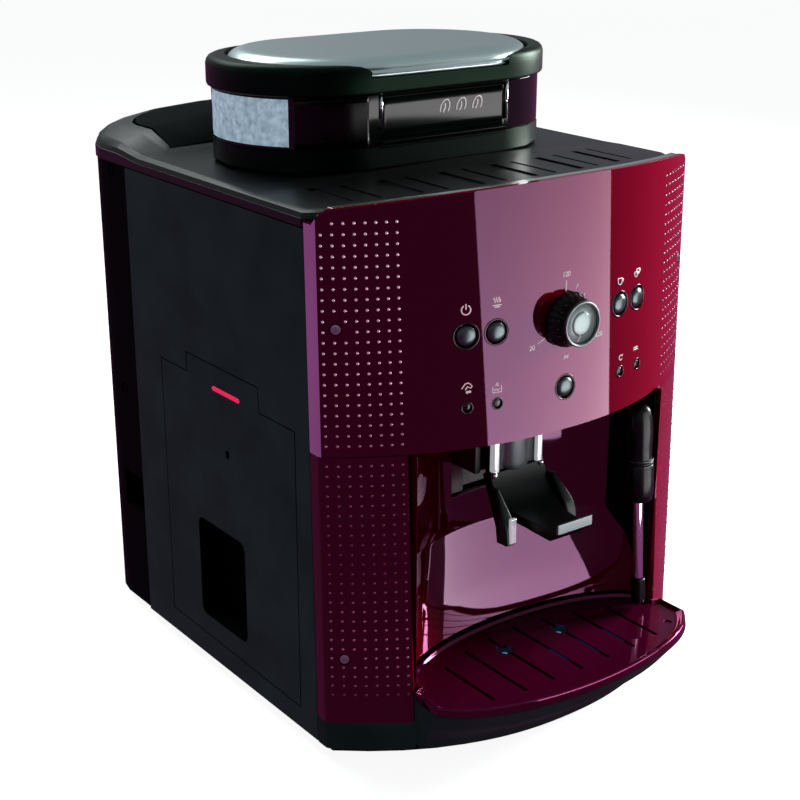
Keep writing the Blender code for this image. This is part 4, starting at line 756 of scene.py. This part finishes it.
# ---------------- drip tray
def tray_ring(flare, inset):
    """Plan of the drip tray; flare 1 is the wide rim, 0 the narrow foot under the fascia."""
    wide = 0.0888 * flare + 0.0815 * (1 - flare) - inset
    half_slot = 0.0832 - inset
    depth = 0.0326 - inset
    rear = [(half_slot * math.cos(a), BAY_FRONT_Y + depth * math.sin(a))
            for a in spread(math.radians(4), math.radians(176), 45)]
    front = []
    for t in spread(-1, 1, 51):
        x = wide * math.sin(t * math.pi / 2)
        share = abs(x / wide)
        rim_y = TRAY_LOW.y + inset + 0.0190 * share ** 2 + 0.0095 * share ** 8
        foot_y = front_y(x, 0.005) - 0.0006 + inset
        front.append((x, rim_y * flare + foot_y * (1 - flare)))
    shoulder_x = max(half_slot - 0.0004, wide)
    shoulder_y = max(BAY_FRONT_Y - 0.0058 + inset, front[0][1] + 0.0008)
    join_y = BAY_FRONT_Y - 0.0035 + inset * 0.5
    left = [(-half_slot, join_y), (-shoulder_x, shoulder_y)]
    right = [(shoulder_x, shoulder_y), (half_slot, join_y)]
    return rear + left + front + right


def build_tray():
    flares = ((TRAY_LOW.z, 0.0), (0.0130, 0.15), (0.0250, 0.68), (TRAY_HIGH.z, 1.0))
    rings = [raised(tray_ring(blend_between(z, flares), 0.0), z)
             for z in spread(TRAY_LOW.z, TRAY_HIGH.z, 15)]
    tray = loft("tray_body", rings, TRAY_BLACK)
    hollow = [raised(tray_ring(flare, 0.0028), z)
              for z, flare in ((0.0095, 0.05), (0.0250, 0.64), (0.0450, 1.0))]
    cut(tray, [loft("hollow", hollow, NO_MATERIAL)])
    for side in (-1, 1):
        profile = [(0.0068, 0), (0.0068, 0.008), (0.0056, 0.008), (0.0056, 0.0012)]
        well = turned(f"float_well_{SIDES[side]}", profile, (side * FLOAT_X, FLOAT_Y, 0.0090),
                      (0, 0, 1), BLACK, 32)
        place(well, "tray", "satin_black")
    soften(tray, 0.0005)
    return place(tray, "tray", "satin_black", "drip_tray")


SLOTS = ((-0.0578, -0.1021, -0.1418), (-0.0386, -0.0950, -0.1443), (-0.0195, -0.0905, -0.1445),
         (0.0, -0.0887, -0.1450), (0.0195, -0.0905, -0.1445), (0.0386, -0.0950, -0.1443),
         (0.0578, -0.1021, -0.1418))


def capsule(x, front, rear, radius, low, high):
    ring = []
    for centre, start in (((x, rear), 0), ((x, front), 180)):
        for angle in spread(start, start + 180, 7):
            a = math.radians(angle)
            ring.append((centre[0] + radius * math.cos(a), centre[1] + radius * math.sin(a)))
    return loft("slot", [raised(ring, low), raised(ring, high)], NO_MATERIAL)


def build_plate():
    top = PLATE_HIGH.z
    floor = top - 0.0022
    steps = ((0.0004, PLATE_LOW.z), (0.0004, top - 0.0012), (0.0007, top - 0.0004),
             (0.0013, top), (0.0019, top - 0.0002), (0.0025, top - 0.0008),
             (0.0030, top - 0.0015), (0.0038, floor + 0.0001), (0.0048, floor))
    rings = [raised(tray_ring(1.0, inset), z) for inset, z in steps]
    plate = loft("drip_grid", rings, RED_PLATE)
    cutters = [capsule(x, front, rear, 0.00105, 0.03, 0.05) for x, rear, front in SLOTS]
    for side in (-1, 1):
        cutters.append(bar("hex", (side * FLOAT_X, FLOAT_Y, 0.03), (side * FLOAT_X, FLOAT_Y, 0.05),
                           0.0053, sides=6))
    cutters.append(bar("dimple", (0.0737, -0.136, floor - 0.0008), (0.0737, -0.136, 0.05), 0.0022,
                       sides=24))
    cut(plate, cutters)
    soften(plate, 0.0005, 3)
    return place(plate, "plate", "gloss_red", "drip_plate")


# ---------------- hopper
def stadium_rows(steps, count=33):
    """Rings of the hopper outline; each step is (inset, height)."""
    length, width = LID_HIGH.x, (LID_HIGH.y - LID_LOW.y) / 2
    return [raised(stadium(length - inset, width - inset, count), z) for inset, z in steps]


def wall_patch(name, path, low, high, material, lift, thickness, rim=0.0006):
    """Pane that follows the hopper's wall; path is a row of (x, y) with outward (x, y)."""
    outer, inner = [], []
    levels = spread(low, high, 9)
    for z in levels:
        edge = min(z - low, high - z)
        row, back = [], []
        for i, ((x, y), (nx, ny)) in enumerate(path):
            side = min(i, len(path) - 1 - i) * 0.001
            rise = lift * min(1.0, (min(edge, side) / rim + 0.25))
            row.append((x + nx * rise, y + ny * rise, z))
            back.append((x - nx * thickness, y - ny * thickness, z))
        outer.append(row)
        inner.append(back)
    return shell(name, outer, inner, material)


def end_path(start, stop, count):
    """Wall points round the hopper's left end, by angle from the -X direction."""
    half_length, half_width = WINDOW_HIGH.x, (WINDOW_HIGH.y - WINDOW_LOW.y) / 2
    reach = half_length - half_width
    path = []
    for angle in spread(start, stop, count):
        a = math.radians(angle)
        out = (-math.cos(a), -math.sin(a))
        path.append(((-reach + half_width * out[0], HOPPER_CENTRE_Y + half_width * out[1]), out))
    return path


def build_hopper():
    low, high = WINDOW_LOW.z, WINDOW_HIGH.z
    steps = ((0.0026, low), (0.0026, high), (0.0050, high), (0.0050, low))
    wall = loft("hopper_wall", stadium_rows(steps + (steps[0],)), SMOKE, cap=False)
    weld(wall)
    soften(wall, 0.0004)
    place(wall, "housing", "smoked_plastic", "hopper_window")
    clear = wall_patch("end_window", end_path(-20, 43, 41), low + 0.0016, high - 0.0010, FROST,
                       0.0007, 0.0006)
    place(clear, "housing", "smoked_plastic")
    beans = wall_patch("bean_window", end_path(46, 88, 31), low + 0.0004, high - 0.0004,
                       BEAN_GLASS, 0.00012, 0.0006)
    place(beans, "housing", "smoked_plastic")

    y = WINDOW_LOW.y
    left, right = -0.0375, 0.0445
    pane_path = [((x, y), (0, -1)) for x in spread(left, right, 60)]
    pane = wall_patch("front_window", pane_path, low + 0.0030, high - 0.0006, PANE, 0.0006, 0.0004)
    place(pane, "housing", "smoked_plastic")
    front = y - 0.0007
    rails = {"window_rail_low": ((left - 0.0012, front - 0.0004, low + 0.0012),
                                 (right + 0.0012, y + 0.0002, low + 0.0021)),
             "window_rail_base": ((left - 0.0012, front - 0.0004, low - 0.0012),
                                  (right + 0.0012, y + 0.0002, low - 0.0004))}
    for name, (start, end) in rails.items():
        place(soften(block(name, start, end, GLOSS_BLACK), 0.0002), "housing", "smoked_plastic")
    glint_low = low + (high - low) * 0.52
    for name, x in (("left_glint", left - 0.0008), ("right_glint", right + 0.0012)):
        start = glint_low if x < 0 else low + 0.006
        rod = bar(name, (x, y - 0.0002, start), (x, y - 0.0002, high - 0.0008), 0.0010, CHROME, 20)
        place(rod, "housing", "smoked_plastic")
    for i in range(3):
        x = 0.0030 + i * 0.0110
        z = low + (high - low) * 0.60
        loop = [(x + 0.0030 * math.cos(a) + 0.0010 * math.sin(a), front - 0.0001,
                 z + 0.0042 * math.sin(a)) for a in spread(-0.5, math.pi + 0.5, 15)]
        seam = [(x - 0.0012, front - 0.0001, z - 0.0022), (x + 0.0002, front - 0.0001, z),
                (x + 0.0001, front - 0.0001, z + 0.0022)]
        mark = stroke(f"bean_mark_{i}", [loop, seam], 0.00028, PRINT)
        place(mark, "housing", "grey_plastic")


def build_lid():
    base, top = LID_LOW.z, LID_HIGH.z
    steps = ((0.0034, base + 0.0050), (0.0034, base), (0.0012, base), (0.0004, base + 0.0005),
             (0.0, base + 0.0014), (0.0, base + 0.0080), (0.0, top - 0.0040),
             (0.0005, top - 0.0022), (0.0015, top - 0.0009), (0.0030, top - 0.0002), (0.0046, top),
             (0.0200, top))
    lid = loft("lid_rim", stadium_rows(steps, 49), BLACK)
    seat_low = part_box("lid_plate")[0].z
    length, width = LID_HIGH.x, (LID_HIGH.y - LID_LOW.y) / 2
    plan = stadium(length - 0.0120, width + 0.0020, 49)
    cut(lid, [loft("seat", [raised(plan, seat_low - 0.0002), raised(plan, top + 0.01)],
                   NO_MATERIAL)])
    soften(lid, 0.0003)
    place(lid, "hopper_lid", "satin_black", "hopper_lid")
    low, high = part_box("lid_plate")
    profile = [(0.0010, low.z), (0.0006, low.z + 0.0004), (0.0006, low.z + 0.0028)]
    for angle in spread(0, 90, 10):
        a = math.radians(angle)
        profile.append((0.0006 + 0.0105 * (1 - math.cos(a)),
                        low.z + 0.0028 + (high.z - low.z - 0.0028) * math.sin(a)))
    profile += [(0.0180, high.z), (0.0260, high.z - 0.0002)]
    rings = [raised(stadium(length - 0.0120 - inset, width - inset, 49), z)
             for inset, z in profile]
    plate = loft("lid_top_plate", rings, SATIN)
    place(plate, "hopper_lid", "satin_metal", "lid_plate")


# ---------------- controls
def build_button(name, x, z):
    out = outward(x, z)
    seat = on_front(x, z, -0.0042)
    profile = [(0.0050, 0.0), (0.0053, 0.0004), (0.0053, 0.0036), (0.0051, 0.0041),
               (0.0046, 0.0046), (0.0036, 0.0051), (0.0024, 0.0054), (0.0010, 0.00555)]
    cap = turned(name + "_cap", profile, seat, out, BUTTON, 48)
    place(cap, name, "chrome", name)
    ring = loft(name + "_surround", circle_rows(x, z, ((0.0059, -0.0005), (0.0063, 0.0002),
                                                      (0.0067, 0.0003), (0.0069, 0.00005),
                                                      (0.0062, -0.0008), (0.0059, -0.0005))),
                GLOSS_BLACK, cap=False)
    weld(ring)
    place(ring, "housing", "gloss_black")


def circle_rows(x, z, steps, count=48):
    """Rings round a point of the fascia that follow its curve; steps are (radius, lift)."""
    return [[on_front(x + u, z + v, lift) for u, v in circle(radius, count)]
            for radius, lift in steps]


def weld(obj):
    bm = bmesh.new()
    bm.from_mesh(obj.data)
    bmesh.ops.remove_doubles(bm, verts=bm.verts[:], dist=1e-6)
    bmesh.ops.recalc_face_normals(bm, faces=bm.faces[:])
    bm.to_mesh(obj.data)
    bm.free()
    obj.data.shade_smooth()
    return obj


def build_lamp(name, x, z):
    out = outward(x, z)
    lens_material = LAMP_RED if x > 0 else GLOSS_BLACK if x < -0.05 else LAMP_CLEAR
    lens = turned(name, [(0.0021, -0.002), (0.0021, 0.0), (0.0017, 0.0004), (0.0008, 0.0006)],
                  on_front(x, z, -0.0006), out, lens_material, 32)
    place(lens, "housing", "smoked_plastic")
    ring = loft(name + "_ring", circle_rows(x, z, ((0.0024, -0.0003), (0.0026, 0.0003),
                                                  (0.0030, 0.0003), (0.0032, 0.00005),
                                                  (0.0028, -0.0006), (0.0024, -0.0003)), 32),
                LAMP_RED if x > 0 or x < -0.05 else GLOSS_BLACK, cap=False)
    weld(ring)
    place(ring, "housing", "chrome")


def fluted_ring(centre, radius, along, depth, flutes, count=288):
    """One ring of the knob's grip, with hollows round it."""
    ring = []
    for i in range(count):
        a = 2 * math.pi * i / count
        hollow = depth * max(0.0, math.cos(flutes * a)) ** 3
        r = radius - hollow
        ring.append(centre + Vector((r * math.cos(a), -along, r * math.sin(a))))
    return ring


def build_dial():
    centre = on_front(0, DIAL_HEIGHT)
    out = Vector((0, -1, 0))
    steps = ((0.0030, 0.0010, 0), (0.0138, 0.0011, 0), (0.0142, 0.0015, 0.0007),
             (0.0142, 0.0030, 0.0009), (0.0139, 0.0044, 0.0009), (0.0130, 0.0056, 0.0006),
             (0.0124, 0.0072, 0.0004), (0.0120, 0.0095, 0.0003), (0.0118, 0.0114, 0.0001),
             (0.0117, 0.0120, 0.0), (0.0098, 0.0120, 0.0), (0.0094, 0.0108, 0.0),
             (0.0040, 0.0106, 0.0))
    rings = [fluted_ring(centre, radius, along, depth, 24) for radius, along, depth in steps]
    body = loft("dial_body", rings, KNOB)
    place(body, "dial", "satin_black", "dial_knob")
    for i, ((x, z), (u, v)) in enumerate(zip(circle(0.0125, 18, 0.12), circle(0.0121, 18, 0.12))):
        rib = bar(f"dial_rib_{i:02d}", centre + Vector((x, -0.0068, z)),
                  centre + Vector((u, -0.0092, v)), 0.00032, BUTTON, 10)
        place(rib, "dial", "satin_black")
    ring_profile = [(0.0101, 0.0123), (0.0103, 0.0131), (0.0108, 0.0136), (0.0112, 0.0136),
                    (0.0116, 0.0132), (0.0117, 0.0123), (0.0101, 0.0123)]
    ring = weld(turned("dial_front_ring", ring_profile, centre, out, CAP_GREY, 96))
    place(ring, "dial", "satin_metal", "dial_ring")
    cap = turned("dial_front_cap", [(0.0060, 0.0107), (0.0066, 0.0112), (0.0066, 0.0119),
            (0.0062, 0.0125), (0.0050, 0.0129), (0.0030, 0.0131),
            (0.0010, 0.01315)], centre, out, CAP_GREY, 64)
    place(cap, "dial", "chrome", "dial_cap")
    mark = stroke("dial_mark", [[centre + Vector((-0.0013, -0.0131, -0.0056)),
            centre + Vector((-0.0021, -0.0121, -0.0088))]], 0.00028, PRINT)
    place(mark, "dial", "grey_plastic")


# ---------------- printed scale and icons
def flat_points(x, z, points, size):
    """Points of a small drawing, in units of its size, laid on the fascia."""
    return [on_front(x + u * size, z + v * size, 0.00008) for u, v in points]


def arc_points(cx, cz, radius, start, end, count=14):
    return [(cx + radius * math.cos(math.radians(a)), cz + radius * math.sin(math.radians(a)))
            for a in spread(start, end, count)]


def icon(name, x, z, lines, size=0.0030, weight=0.00026):
    drawn = [flat_points(x, z, line, size) for line in lines]
    obj = stroke(name, drawn, weight, PRINT)
    return place(obj, "housing", "grey_plastic")


CUP = [[(-0.7, 0.5), (-0.6, -0.4), (-0.2, -0.7), (0.2, -0.7), (0.5, -0.4), (0.6, 0.5), (-0.7, 0.5)],
       [(0.6, 0.3), (0.95, 0.25), (0.95, -0.1), (0.55, -0.2)]]


def shifted(lines, du, dv, scale=1.0):
    return [[(u * scale + du, v * scale + dv) for u, v in line] for line in lines]


def build_icons():
    icon("power_icon", -0.0572, 0.2379,
         [arc_points(0, 0, 0.75, 120, 420, 22), [(0, 0.05), (0, 0.95)]], 0.0031, 0.00030)
    wave = [[(d + 0.14 * math.sin(t * 6.3), 0.1 + t * 0.85) for t in spread(0, 1, 9)]
            for d in (-0.45, 0.0, 0.45)]
    icon("steam_icon", -0.0409, 0.2394, wave + [[(-0.8, -0.35), (0.8, -0.35)],
            [(-0.5, -0.65), (0.5, -0.65)]])
    icon("one_cup_icon", 0.0412, 0.2370, CUP, 0.0027)
    icon("two_cup_icon", 0.0566, 0.2382, shifted(CUP, -0.35, -0.15, 0.8)
         + shifted(CUP, 0.35, 0.30, 0.8), 0.0027)
    icon("grounds_icon", -0.0575, 0.1992,
         [[(-0.9, -0.1), (-0.3, 0.7), (0.3, 0.8), (0.9, 0.2), (0.6, -0.1), (0.1, 0.2), (-0.3, -0.3)],
          arc_points(0.0, -0.75, 0.16, 0, 360, 9), arc_points(0.45, -0.7, 0.14, 0, 360, 9)])
    icon("water_icon", -0.0417, 0.1969,
         [[(-0.8, 0.4), (-0.8, -0.7), (0.8, -0.7), (0.8, 0.4)],
          [(-0.5, -0.4), (-0.2, -0.1), (0.1, -0.4), (0.4, -0.1)], [(0, 0.9), (-0.25, 0.45),
                                                                   (0.25, 0.45), (0, 0.9)]])
    icon("clean_icon", 0.0420, 0.1962, [arc_points(0, 0, 0.6, 30, 330, 16),
            [(0.2, 0.6), (0.55, 0.3), (0.85, 0.7)]], 0.0022)
    icon("descale_icon", 0.0560, 0.1976, [[(-0.9, 0.2), (-0.45, 0.5), (0, 0.2), (0.45, 0.5),
             (0.9, 0.2)],
            [(-0.9, -0.3), (-0.45, 0), (0, -0.3), (0.45, 0),
             (0.9, -0.3)]], 0.0022)


def figure(name, words, x, z, height):
    """Generic scale figures beside the dial, as a slightly raised print."""
    curve = bpy.data.curves.new(name, "FONT")
    curve.body = words
    curve.size = height
    curve.extrude = 0.00006
    curve.align_x = "CENTER"
    curve.align_y = "CENTER"
    obj = bpy.data.objects.new(name, curve)
    bpy.context.scene.collection.objects.link(obj)
    curve.materials.append(PRINT)
    angle = front_slope(x, z)
    obj.rotation_euler = (math.pi / 2, 0, angle)
    obj.location = on_front(x, z, 0.00012)
    return place(obj, "housing", "grey_plastic")


def build_scale():
    ticks = {"tick_high": ((0.0008, 0.2392), (0.0010, 0.2446)),
             "tick_low": ((-0.0132, 0.2176), (-0.0176, 0.2154)),
             "tick_full": ((0.0134, 0.2172), (0.0176, 0.2150)),
             "tick_a": ((0.0078, 0.2394), (0.0090, 0.2413)),
             "tick_b": ((0.0128, 0.2348), (0.0141, 0.2360))}
    for name, ends in ticks.items():
        line = [on_front(x, z, 0.00008) for x, z in ends]
        place(stroke(name, [line], 0.00024, PRINT), "housing", "grey_plastic")
    figure("scale_120", "120", 0.0012, 0.2475, 0.0036)
    figure("scale_20", "20", -0.0212, 0.2138, 0.0036)
    figure("scale_220", "220", 0.0238, 0.2128, 0.0036)
    figure("scale_unit", "ml", 0.0005, 0.2058, 0.0034)


# ---------------- build everything
build_fascia()
for end in (-1, 1):
    build_column(end)
    build_pips(end)
    for is_upper in (True, False):
        build_screw(end, is_upper)
build_bay_wall()
build_spout()
build_wand()
build_tray()
build_plate()
build_hopper()
build_lid()
for button, (button_x, button_z) in BUTTONS.items():
    build_button(button, button_x, button_z)
for lamp, (lamp_x, lamp_z) in LAMPS.items():
    build_lamp(lamp, lamp_x, lamp_z)
build_dial()
build_icons()
build_scale()


# ---------------- studio
def build_floor():
    bm = bmesh.new()
    bmesh.ops.create_grid(bm, x_segments=2, y_segments=2, size=9)
    material = surface("floor", (0.90, 0.90, 0.90), 0.6, variation=0.01, patch=1.0)
    shader = material.node_tree.nodes["Principled BSDF"]
    shader.inputs["Emission Color"].default_value = (1, 1, 1, 1)
    shader.inputs["Emission Strength"].default_value = 0.92
    shader.inputs["Specular IOR Level"].default_value = 0.0
    floor = new_object("studio_floor", bm, material)
    floor.location.z = CAD_LOW.z - 0.0002
    floor.visible_diffuse = False
    floor.visible_glossy = False


def reflection_card(name, left, right, low, high, strength, top_strength):
    """Softbox seen only in glossy surfaces: an upright rectangle that fades from foot to top."""
    bm = bmesh.new()
    corners = [(*left, low), (*right, low), (*right, high), (*left, high)]
    bm.faces.new([bm.verts.new(corner) for corner in corners])
    material, tree, links = new_material(name)
    tree.nodes.remove(tree.nodes["Principled BSDF"])
    where = add_node(tree, "TexCoord")
    axes = add_node(tree, "SeparateXYZ")
    fade = add_node(tree, "MapRange", From_Min=low, From_Max=high, To_Min=strength,
                    To_Max=top_strength)
    glow = add_node(tree, "Emission", Color=(1, 1, 1, 1))
    links.new(where.outputs["Object"], axes.inputs["Vector"])
    links.new(axes.outputs["Z"], fade.inputs["Value"])
    links.new(fade.outputs["Result"], glow.inputs["Strength"])
    links.new(glow.outputs["Emission"], tree.nodes["Material Output"].inputs["Surface"])
    card = new_object(name, bm, material)
    card.visible_camera = False
    card.visible_diffuse = False
    card.visible_shadow = False
    card.visible_transmission = False


def area_light(name, position, target, size, power, colour=(1, 1, 1)):
    data = bpy.data.lights.new(name, "AREA")
    data.shape = "RECTANGLE"
    data.size, data.size_y = size
    data.energy = power
    data.color = colour
    light = bpy.data.objects.new(name, data)
    light.location = position
    aim = Vector(target) - Vector(position)
    light.rotation_euler = aim.to_track_quat("-Z", "Y").to_euler()
    bpy.context.scene.collection.objects.link(light)
    return light


DIFFUSE_DOME = 0.16           # soft light from all round, kept low so that the red stays deep
GLOSSY_DOME = 1.0


def build_world():
    """White to the camera; a dim soft dome for everything else."""
    world = bpy.data.worlds.new("studio")
    bpy.context.scene.world = world
    world.use_nodes = True
    tree, links = world.node_tree, world.node_tree.links
    tree.nodes.clear()
    out = add_node(tree, "OutputWorld")
    mix = add_node(tree, "MixShader")
    path = add_node(tree, "LightPath")
    seen = add_node(tree, "Background", Color=(1, 1, 1, 1))
    dome = add_node(tree, "Background")
    where = add_node(tree, "TexCoord")
    axes = add_node(tree, "SeparateXYZ")
    ramp = add_node(tree, "ValToRGB")
    height = add_node(tree, "MapRange", From_Min=-1, From_Max=1)
    share = add_node(tree, "MapRange", To_Min=DIFFUSE_DOME, To_Max=GLOSSY_DOME)
    stops = ramp.color_ramp.elements
    stops[0].position, stops[0].color = 0.44, (0.19, 0.045, 0.145, 1)
    stops[1].position, stops[1].color = 0.60, (0.22, 0.25, 0.26, 1)
    links.new(where.outputs["Generated"], axes.inputs["Vector"])
    links.new(axes.outputs["Z"], height.inputs["Value"])
    links.new(height.outputs["Result"], ramp.inputs["Fac"])
    links.new(ramp.outputs["Color"], dome.inputs["Color"])
    links.new(path.outputs["Is Glossy Ray"], share.inputs["Value"])
    links.new(share.outputs["Result"], dome.inputs["Strength"])
    links.new(path.outputs["Is Camera Ray"], mix.inputs["Fac"])
    links.new(dome.outputs["Background"], mix.inputs[1])
    links.new(seen.outputs["Background"], mix.inputs[2])
    links.new(mix.outputs["Shader"], out.inputs["Surface"])


def build_camera():
    data = bpy.data.cameras.new("camera")
    data.lens = 68.98
    data.sensor_width = 36
    data.clip_start, data.clip_end = 0.01, 50
    camera = bpy.data.objects.new("camera", data)
    right = Vector((0.80243, -0.59674, 0.00130))
    up = Vector((0.20157, 0.27310, 0.94063))
    back = -Vector((0.56167, 0.75453, -0.33943))
    turn = Matrix((right, up, back)).transposed()
    camera.matrix_world = Matrix.Translation((-0.50163, -0.65830, 0.44561)) @ turn.to_4x4()
    bpy.context.scene.collection.objects.link(camera)
    bpy.context.scene.camera = camera


build_floor()
build_world()
build_camera()
reflection_card("front_softbox", (0.025, -0.42), (0.417, -0.353), 0.0, 0.275, 6.0, 3.0)
reflection_card("hopper_flag", (-0.20, -0.165), (0.30, -0.165), 0.298, 0.46, 0.0, 0.0)
area_light("key", (1.30, -0.24, 0.50), (0.0, -0.05, 0.15), (0.5, 0.5), 26.0)
area_light("top", (-0.1, 0.9, 1.1), (0, 0.05, 0.3), (0.9, 0.5), 4.0, (0.95, 1.0, 1.0))
bpy.context.scene.view_settings.view_transform = "Standard"
bpy.context.scene.cycles.caustics_reflective = False
